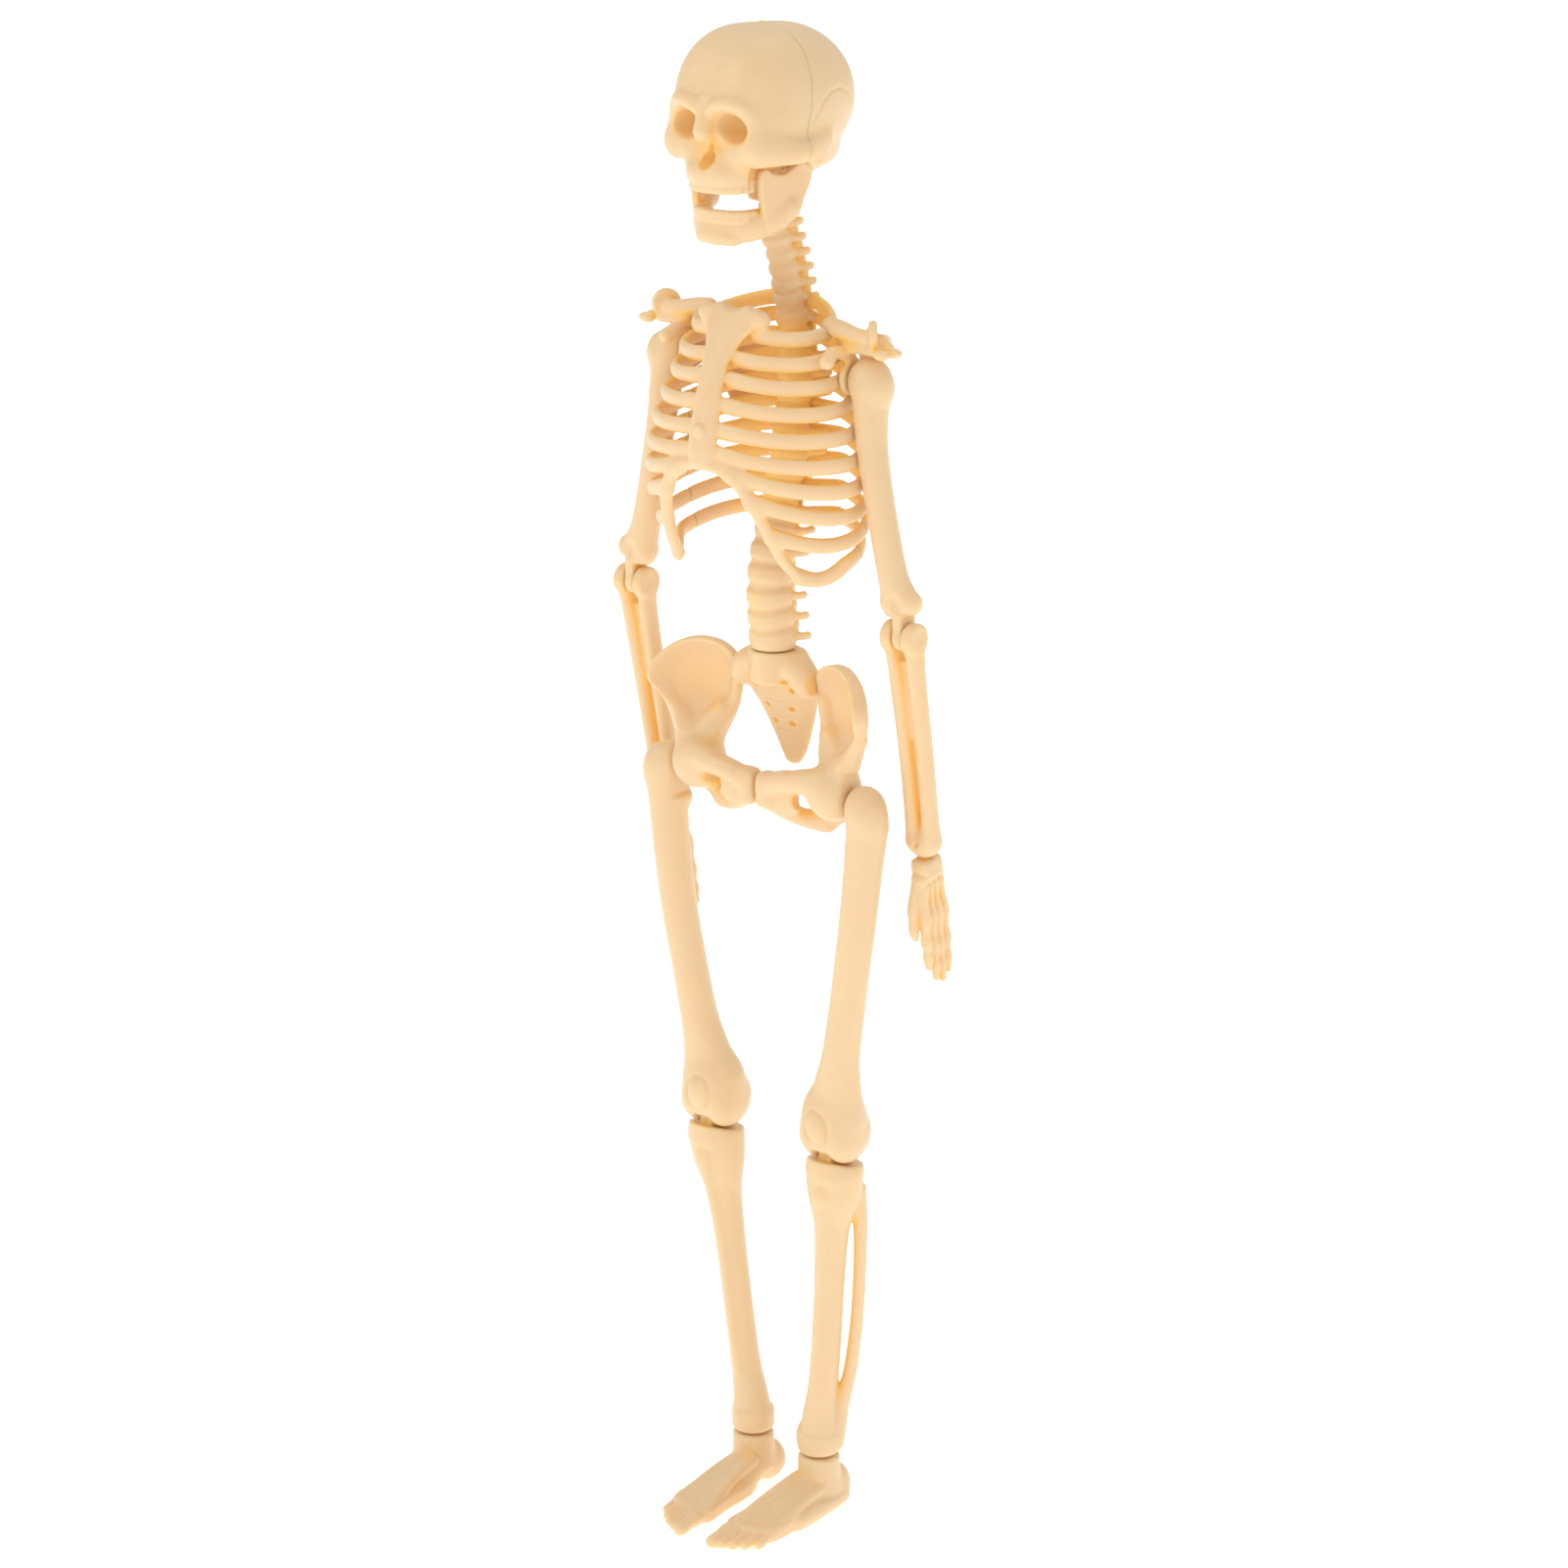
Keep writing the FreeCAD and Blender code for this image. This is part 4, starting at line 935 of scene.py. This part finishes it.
def forearm():
    """Two bones side by side on a thin web, with a round head each and a common wrist."""
    clay = Clay((22, -6, 113), (31, 7, 154), 0.25)
    for side in SIDES:
        clay.add(drum((26.9 + side * 1.05, -2.8, 150.5), (26.9 + side * 2.95, -2.8, 150.5), 2.5,
                      0.5),
                 melt=0.3)
        clay.add(bar([(26.9 + side * 2.05, -2.6, 149.4), (26.9 + side * 1.75, -1.8, 144.0),
                      (26.7 + side * 1.7, 0.5, 132.0), (26.4 + side * 1.6, 2.3, 121.5),
                      (26.2 + side * 1.4, 3.1, 117.2)],
                     [0.95, 1.3, 1.25, 1.3, 1.6], [2.0, 1.6, 1.45, 1.5, 1.9]), melt=0.6)
    clay.add(bar([(26.9, -2.0, 146.4), (26.8, -0.7, 139.0), (26.75, 0.2, 134.5)], 0.9, 0.55),
             melt=0.5)
    clay.add(ball((26.2, 3.25, 116.6), (2.8, 2.2, 2.3)), melt=0.8)
    clay.take(bar([(26.2, 1.0, 120.4), (26.2, 1.3, 116.6)], 0.3),
              bar([(26.2, 5.3, 120.4), (26.2, 5.3, 116.6)], 0.3),
              melt=0.4)
    lean = math.radians(10.1)
    clay.within(level((26.2, 3.6, 114.62), (0.0, math.sin(lean), -math.cos(lean))), 0.35)
    clay.take(drum((26.2, 3.6 + 0.52, 111.5), (26.2, 3.6 - 0.45, 117.2), 0.86, 0.05), melt=0.05)
    return clay


FINGER_TIPS = (-19.0, -21.4, -22.2, -21.2)


def hand():
    """Wrist bones, four segmented fingers joined by thin webs, and a thumb, about the wrist."""
    clay = Clay((-4, -7, -24), (4, 5, 3), 0.2)
    clay.add(slab((0, 0, -1.9), (1.7, 2.2, 1.75), 0.8), melt=0.5)
    for y in (-1.5, 0.0, 1.5):
        clay.add(ball((0, y, -1.6), (1.6, 0.95, 1.05)), melt=0.25)
    for y in (-2.0, -0.7, 0.6, 1.9):
        clay.add(ball((0, y, -3.4), (1.5, 0.85, 1.1)), melt=0.25)
    axes = np.column_stack([(0, 1, 0), (0, 0, 1), (1, 0, 0)])
    clay.add(plate((0, 0, -10.0), axes, [(-2.2, 6.4), (2.0, 6.4), (2.9, 1.0), (2.8, -7.4),
                                         (-2.5, -6.0),
                                         (-2.8, 0.0)], 0.42, 0.3), melt=0.4)
    for finger, tip in enumerate(FINGER_TIPS):
        y = -2.1 + 1.5 * finger
        reach = -tip - 10.6
        knots = [(0.1, y * 0.82, -4.6), (0.15, y * 0.92, -7.4), (0.1, y, -10.2),
                 (0.0, y, -10.6 - 0.22 * reach),
                 (0.0, y, -10.6 - 0.42 * reach), (-0.05, y * 0.98, -10.6 - 0.58 * reach),
                 (-0.1, y * 0.96, -10.6 - 0.74 * reach), (-0.15, y * 0.95, -10.6 - 0.88 * reach),
                 (-0.2, y * 0.94, tip + 0.5)]
        clay.add(bar(knots, [0.8, 0.62, 0.9, 0.62, 0.85, 0.6, 0.78, 0.55, 0.55],
                     [1.2, 0.95, 1.2, 0.85, 1.05, 0.75, 0.95, 0.7, 0.65], side=(0, 1, 0)),
                     melt=0.15)
    clay.add(bar([(-0.5, -1.7, -3.2), (-0.8, -2.6, -5.6), (-1.0, -3.2, -8.2), (-1.0, -3.5, -9.8),
                  (-1.0, -3.6, -11.8), (-0.9, -3.5, -13.0)],
                 [1.0, 0.8, 0.95, 0.75, 0.8, 0.5]), melt=0.3)
    clay.within(level((0, 0, -0.15), (0, 0, 1)), 0.25)
    clay.add(drum((0, 0, -2), (0, 0, 2.35), 0.8, 0.1), melt=0.1)
    return clay


bone_pair("humerus", humerus(), "upper_arm_left", "upper_arm_right")
bone_pair("forearm", forearm(), "forearm_left", "forearm_right")
bone_pair("hand", hand(), "hand_left", "hand_right",
          (joint("wrist_turn_left"), turned((1, 0, 0), 10.09)))

# ---- pelvis ----


def sacrum():
    """A wedge that narrows down to the tail bone, with its pits, cross lines and rear crest."""
    clay = Clay((-8, -6, 122), (8, 8, 145), 0.25)
    clay.add(bar([(0, 0.1, 142.6), (0, 0.3, 140.4), (0, 1.0, 137.4), (0, 2.2, 134.0),
                  (0, 3.0, 130.6),
                  (0, 3.5, 127.2), (0, 3.5, 125.2)], [5.6, 7.1, 6.9, 5.5, 4.1, 2.7, 1.6],
                 [2.7, 2.7, 2.5, 2.2, 1.8, 1.4, 1.0]), melt=0.5)
    clay.add(drum((0, -1.3, 138.6), (0, -1.3, 144.6), 3.7, 0.6), melt=1.2)
    for side in SIDES:
        clay.add(bar([(side * 3.0, -1.6, 141.6), (side * 5.0, -1.5, 141.0),
                      (side * 6.3, -0.8, 139.2)],
                     [1.8, 2.1, 2.3]), melt=1.2)
        for x, z in ((3.9, 138.4), (3.5, 135.2), (2.9, 132.2), (2.2, 129.6)):
            spot = laid_on(clay, [(side * x, -4.0, z)])[0]
            clay.take(ball(spot, (0.55, 0.9, 0.5)), melt=0.3)
            rear = laid_on(clay, [(side * x * 0.9, 8.0, z)])[0]
            clay.take(ball(rear, (0.6, 0.8, 0.6)), melt=0.3)
    for x, z in ((3.0, 136.8), (2.6, 133.7), (2.1, 130.9), (1.6, 128.4)):
        score(clay, [(-x, -4.0, z), (0.0, -4.0, z - 0.2), (x, -4.0, z)], 0.2)
    for z, y in ((140.4, 3.2), (137.4, 4.0), (134.4, 4.8), (131.4, 5.0)):
        clay.add(ball((0, y, z), (0.8, 1.3, 1.3)), melt=0.5)
    clay.within(below(143.83), 0.3)
    clay.within(level((7.72, 0, 0), (1, 0, 0)), 0.3)
    clay.within(level((-7.72, 0, 0), (-1, 0, 0)), 0.3)
    return clay


def hip_bone():
    """Dished iliac wing with a thick rim, socket boss, and the bars round the lower opening."""
    clay = Clay((-1, -10, 113), (24, 7, 145), 0.28)
    turn = math.radians(-24)
    axes = np.column_stack([(math.cos(turn), math.sin(turn), 0), (0, 0, 1),
                            (math.sin(turn), -math.cos(turn), 0)])
    outline = [(-6.6, 0.6), (-6.8, 3.6), (-5.2, 6.4), (-2.2, 7.8), (1.6, 7.7), (5.2, 6.1),
               (7.7, 3.6),
               (8.3, 1.2), (7.2, -0.8), (5.7, -2.6), (4.3, -4.0), (3.4, -6.0), (2.6, -9.0),
               (-2.0, -9.4),
               (-3.6, -6.4), (-5.4, -3.0)]
    clay.add(plate((14.5, -1.5, 135.5), axes, outline, 0.62, 0.5,
                   dish=lambda u, v: np.minimum(0.05 * (u * u + (v - 1.0) ** 2), 3.2) - 1.7,
                   swell=lambda u, v: 0.7 * np.clip((np.sqrt(u * u + (v - 0.5) ** 2) - 4.6) / 3.0,
                                                    0.0, 1.0)),
             melt=0.4)
    clay.add(bar([(11.0, -0.6, 131.6), (13.0, -1.8, 128.4), (13.9, -2.8, 125.0)],
                 [1.6, 2.4, 3.3], [1.7, 2.1, 3.0]), melt=1.6)
    clay.add(bar([(19.4, -3.6, 133.0), (17.2, -3.2, 129.6), (15.2, -3.2, 126.6)],
                 [0.9, 1.6, 2.4]), melt=1.2)
    clay.add(ball((13.7, -3.2, 123.8), (4.3, 4.4, 4.5)), melt=1.0)
    clay.add(bar([(8.7, 0.3, 136.9), (9.4, 0.4, 133.4), (10.9, -0.2, 130.2), (12.2, -1.8, 127.0)],
                 [0.8, 0.9, 1.1, 1.6]), melt=0.9)
    clay.add(bar([(12.6, -5.0, 125.4), (8.4, -5.9, 125.0), (4.8, -5.7, 124.2), (2.2, -5.0, 122.8)],
                 [2.4, 1.9, 1.8, 1.9]), melt=0.9)
    clay.add(slab((1.75, -5.0, 122.3), (1.55, 1.7, 2.9), 1.2), melt=0.9)
    clay.add(ball((5.6, -4.7, 121.6), (3.2, 1.3, 2.8)), melt=0.9)
    clay.add(bar([(13.0, -1.8, 122.4), (11.8, -0.6, 119.9), (9.9, -0.9, 118.4)],
                 [2.8, 2.4, 1.9]), melt=1.0)
    clay.add(bar([(10.4, -1.0, 117.9), (7.4, -2.5, 118.2), (4.4, -4.0, 119.4), (2.0, -5.0, 121.0)],
                 [1.8, 1.5, 1.45, 1.5]), melt=0.8)
    clay.take(ball((9.0, -4.4, 121.7), (1.9, 3.6, 1.6), turned((0, 1, 0), -14)), melt=0.5)
    # Painted glow in the opening under the socket.
    clay.paint_glow(ball((9.4, -2.6, 121.6), (2.4, 2.4, 2.2)))
    clay.take(slab((22.2, -5.0, 121.0), (5.0, 15.0, 6.6), 0.3), melt=0.6)
    # Painted glow in the dish of the wing.
    clay.paint_glow(ball((13.4, -4.0, 136.6), (6.8, 5.0, 6.4), turned((0, 0, 1), -24)))
    clay.within(level((0.2, 0, 0), (-1, 0, 0)), 0.3)
    clay.take(slab((3.0, 0, 136.5), (4.9, 12, 10.0), 0.1), melt=0.3)
    return clay


bone("sacrum", sacrum(), "pelvis")
bone_pair("hip_bone", hip_bone(), "pelvis", "pelvis")

# ---- legs ----


def femur():
    """Trimmed head, trochanter, a shaft that leans inwards, kneecap and slotted condyles."""
    clay = Clay((6, -10, 61), (25, 5, 127), 0.3)
    clay.add(bar([(20.4, -3.5, 119.4), (19.9, -3.6, 114.0), (19.0, -3.7, 106.0), (17.8, -3.6, 98.0),
                  (16.2, -3.2, 89.0), (14.7, -2.8, 81.0), (13.6, -2.3, 75.4), (12.8, -1.9, 71.0)],
                 [3.4, 3.1, 2.95, 2.85, 2.85, 3.05, 4.0, 4.9],
                 [3.2, 3.0, 2.9, 2.85, 2.85, 2.95, 3.3, 3.9]), melt=0.5)
    clay.add(ball((19.6, -3.2, 122.5), (3.2, 3.3, 3.3)), melt=1.2)
    clay.add(ball((21.2, -4.0, 121.4), (2.7, 3.0, 3.8)), melt=1.1)
    clay.add(ball((18.2, -2.4, 117.2), (1.6, 1.8, 2.2)), melt=1.3)
    for side in SIDES:
        clay.add(ball((12.4 + side * 2.75, -1.4, 67.5), (2.45, 4.5, 4.55)), melt=1.2)
    clay.add(ball((12.4, -1.9, 70.6), (5.15, 4.3, 5.2)), melt=1.0)
    clay.add(drum((8.4, -1.6, 67.5), (16.4, -1.6, 67.5), 4.5, 1.7), melt=0.8)
    tilt = turned((0, 1, 0), -12)
    clay.add(ball((12.3, -4.4, 69.2), (3.6, 2.1, 3.9), tilt), melt=0.9)
    clay.take(ball((12.2, -7.0, 69.2), (3.0, 1.7, 3.7), tilt), melt=0.2)
    clay.add(ball((12.2, -5.6, 69.2), (2.25, 1.5, 2.95), tilt), melt=0.1)
    clay.take(slab((12.4, 3.5, 65.0), (1.6, 8.5, 6.0), 0.3), melt=0.4)
    clay.take(slab((12.5, -3.0, 124.4), (5.0, 12.0, 7.0), 0.2), melt=0.9)
    clay.take(drum((16.5, -3.2, 122.5), (21.8, -3.2, 122.5), 1.26, 0.05), melt=0.05)
    return clay


def shin():
    """Tibia with crest, knee tongue and ankle block, and the thinner fibula beside it."""
    clay = Clay((2, -7, 9), (18, 6, 72), 0.28)
    clay.add(bar([(7.1, 0.7, 12.4), (7.4, 0.6, 16.4), (8.1, 0.4, 21.0), (9.1, 0.1, 29.0),
                  (10.4, -0.5, 42.0),
                  (11.3, -1.0, 51.0), (12.0, -1.4, 57.0), (12.4, -1.6, 61.0)],
                 [3.3, 2.85, 2.45, 2.4, 2.5, 2.95, 4.5, 4.9],
                 [3.2, 2.75, 2.45, 2.35, 2.4, 2.8, 3.7, 4.2]), melt=0.4)
    clay.add(drum((7.0, 0.8, 9.77), (7.0, 0.8, 14.2), 3.5, 1.2), melt=0.3)
    clay.add(ball((4.8, 0.3, 12.6), (1.2, 1.9, 2.6)), melt=0.6)
    clay.add(bar([(12.2, -4.9, 57.4), (11.3, -3.7, 50.0), (10.3, -2.9, 42.0), (9.0, -2.3, 30.0),
                  (8.0, -1.8, 21.0)], [0.9, 0.7, 0.6, 0.55, 0.5]), melt=1.1)
    clay.add(ball((12.3, -4.9, 57.8), (1.3, 1.0, 2.2)), melt=0.8)
    clay.add(drum((12.4, -1.6, 60.0), (12.4, -1.6, 64.0), 4.3, 0.5), melt=0.6)
    clay.within(level((12.4, 0.0, 62.3), (0, 0.2, 1)), 0.35)
    clay.take(drum((5.0, -1.6, 67.5), (20.0, -1.6, 67.5), 4.95, 0.1), melt=0.3)
    clay.add(bar([(14.5, 1.4, 57.2), (14.5, 2.2, 51.0), (13.8, 2.9, 43.0), (12.9, 3.3, 34.0),
                  (11.6, 3.3, 25.0), (10.3, 2.7, 18.5), (9.8, 2.2, 14.0), (9.6, 2.0, 11.8)],
                 [1.5, 1.15, 1.05, 1.05, 1.1, 1.2, 1.35, 1.3]), melt=0.6)
    clay.within(above(9.76), 0.3)
    clay.add(drum((11.1, -1.6, 67.5), (13.7, -1.6, 67.5), 3.0, 0.35),
             slab((12.4, -1.6, 63.6), (1.3, 2.6, 2.6), 0.3), melt=0.3)
    clay.take(drum((8, -1.6, 67.5), (17, -1.6, 67.5), 1.06, 0.05), melt=0.05)
    return clay


def foot():
    """Ankle collar, heel, instep and sole, five long bones that fan out and five jointed toes."""
    clay = Clay((-1, -24, -1), (14, 12, 11), 0.22)
    clay.add(bar([(7.0, 3.6, 3.6), (6.9, 1.6, 3.9), (6.8, -1.6, 3.6), (6.8, -4.6, 2.9)],
                 [2.9, 3.1, 3.0, 2.9], [3.4, 3.2, 2.6, 1.9]), melt=0.6)
    clay.add(ball((6.9, 3.7, 3.2), (3.2, 3.5, 3.3)), melt=0.8)
    clay.add(bar([(9.0, 3.6, 1.7), (9.8, -2.0, 1.7), (10.1, -8.0, 1.6)], [1.6, 1.5, 1.4]), melt=0.8)
    clay.add(bar([(6.9, -1.5, 3.0), (6.8, -5.5, 2.7), (6.7, -9.5, 2.1), (6.7, -13.5, 1.5)],
                 [3.0, 3.0, 3.3, 3.6], [2.7, 2.2, 1.8, 1.4]), melt=0.8)
    clay.add(drum((7.0, 0.8, 3.0), (7.0, 0.8, 9.6), 3.4, 0.7), melt=0.8)
    clay.add(plate((6.6, -8.0, 1.6), np.eye(3), [(-2.6, 6.0), (-4.0, -3.0), (-4.4, -8.4),
                                                 (0.0, -9.2),
                                            (3.8, -7.0), (4.0, -1.0), (3.4, 6.0)], 1.3, 0.7),
                                            melt=0.8)
    for toe in range(5):
        root = (4.9 + 1.05 * toe, -2.2 + 0.2 * toe, 5.5 - 0.25 * toe)
        knuckle = (3.6 + 1.55 * toe, -14.2 + 0.7 * toe, 2.1)
        tip = (3.4 + 1.58 * toe, -21.4 + 0.2 * toe + 0.2 * toe * toe, 1.0)
        long_bone, thick = (1.15, 1.3) if toe == 0 else (1.0, 1.0)
        middle = np.add(root, knuckle) / 2 + (0, 0, 0.5)
        clay.add(bar([root, middle, knuckle], np.array([1.0, 0.8, 1.05]) * long_bone), melt=0.3)
        between = np.add(knuckle, tip) / 2
        clay.add(bar([knuckle, (between + knuckle) / 2, between, (between + tip) / 2 + (0, 0, 0.05),
                      tip],
                     np.array([1.0, 0.8, 0.98, 0.8, 0.85]) * thick), melt=0.4)
    clay.within(above(0.0), 0.25)
    clay.within(level((0.45, 0, 0), (-1, 0, 0)), 0.2)
    clay.within(below(9.6), 0.2)
    clay.take(drum((7, 0.8, 5.5), (7, 0.8, 10.5), 1.26, 0.05), melt=0.05)
    return clay


bone_pair("femur", femur(), "thigh_left", "thigh_right")
bone_pair("shin", shin(), "shin_left", "shin_right")
bone_pair("foot", foot(), "foot_left", "foot_right")

# ---- pins that stay as drawn ----

for name, node in frame["nodes"].items():
    if {"pin", "pins", "peg"} & set(name.split("_")):
        node.data.materials.clear()
        node.data.materials.append(PIN_PLASTIC)

# ---- floor, light and camera ----


def floor():
    """A wide white sheet at the soles."""
    mesh = bpy.data.meshes.new("floor")
    wide = 4.0
    mesh.from_pydata([(-wide, -wide, 0), (wide, -wide, 0), (wide, wide, 0), (-wide, wide, 0)], [],
                     [(0, 1, 2, 3)])
    sheet = bpy.data.objects.new("floor", mesh)
    bpy.context.scene.collection.objects.link(sheet)
    material, tree, shader = material_tree("white_paper")
    shader.inputs["Base Color"].default_value = linear("FAFAFA")
    shader.inputs["Roughness"].default_value = 0.9
    shader.inputs["Emission Color"].default_value = linear("FFFFFF")
    shader.inputs["Emission Strength"].default_value = 0.55
    mesh.materials.append(material)


def area_light(name, place, target, size, power, colour="FFFFFF"):
    """A square soft light that faces a point."""
    lamp = bpy.data.lights.new(name, "AREA")
    lamp.size = size
    lamp.energy = power
    lamp.color = linear(colour)[:3]
    item = bpy.data.objects.new(name, lamp)
    item.location = place
    aim = Vector(target) - Vector(place)
    item.rotation_euler = aim.to_track_quat("-Z", "Y").to_euler()
    bpy.context.scene.collection.objects.link(item)


CAMERA_AIM = (0.9, PLUMB_Y, 121.8)
CAMERA_AWAY = 702.5


def camera():
    """A long lens, high on the skeleton's left, a little way round from the front."""
    turn = math.radians(40.387)
    height = math.radians(17.101)
    roll = math.radians(-0.262)
    right = Vector((math.cos(turn), math.sin(turn), 0.0))
    back = Vector((math.sin(turn) * math.cos(height), -math.cos(turn) * math.cos(height),
                   math.sin(height)))
    up = back.cross(right)
    side = right * math.cos(roll) + up * math.sin(roll)
    over = up * math.cos(roll) - right * math.sin(roll)
    data = bpy.data.cameras.new("camera")
    data.sensor_width = 36.0
    data.lens = 103.8
    item = bpy.data.objects.new("camera", data)
    matrix = Matrix((side, over, back)).transposed().to_4x4()
    matrix.translation = (Vector(CAMERA_AIM) + back * CAMERA_AWAY) * MM
    item.matrix_world = matrix
    bpy.context.scene.collection.objects.link(item)
    bpy.context.scene.camera = item


floor()
area_light("key", (-0.55, -0.85, 1.05), (0, 0, 0.12), 0.8, 3.2, "FFFDF8")
area_light("fill", (0.95, -0.55, 0.55), (0, 0, 0.12), 0.9, 0.8)
area_light("top", (0.1, 0.35, 1.3), (0, 0, 0.1), 1.0, 2.2)
camera()
world = bpy.data.worlds.new("studio")
world.use_nodes = True
sky = world.node_tree.nodes["Background"].inputs
sky["Color"].default_value = linear("FFFFFF")
sky["Strength"].default_value = 0.66
bpy.context.scene.world = world
bpy.context.scene.view_settings.view_transform = "Standard"
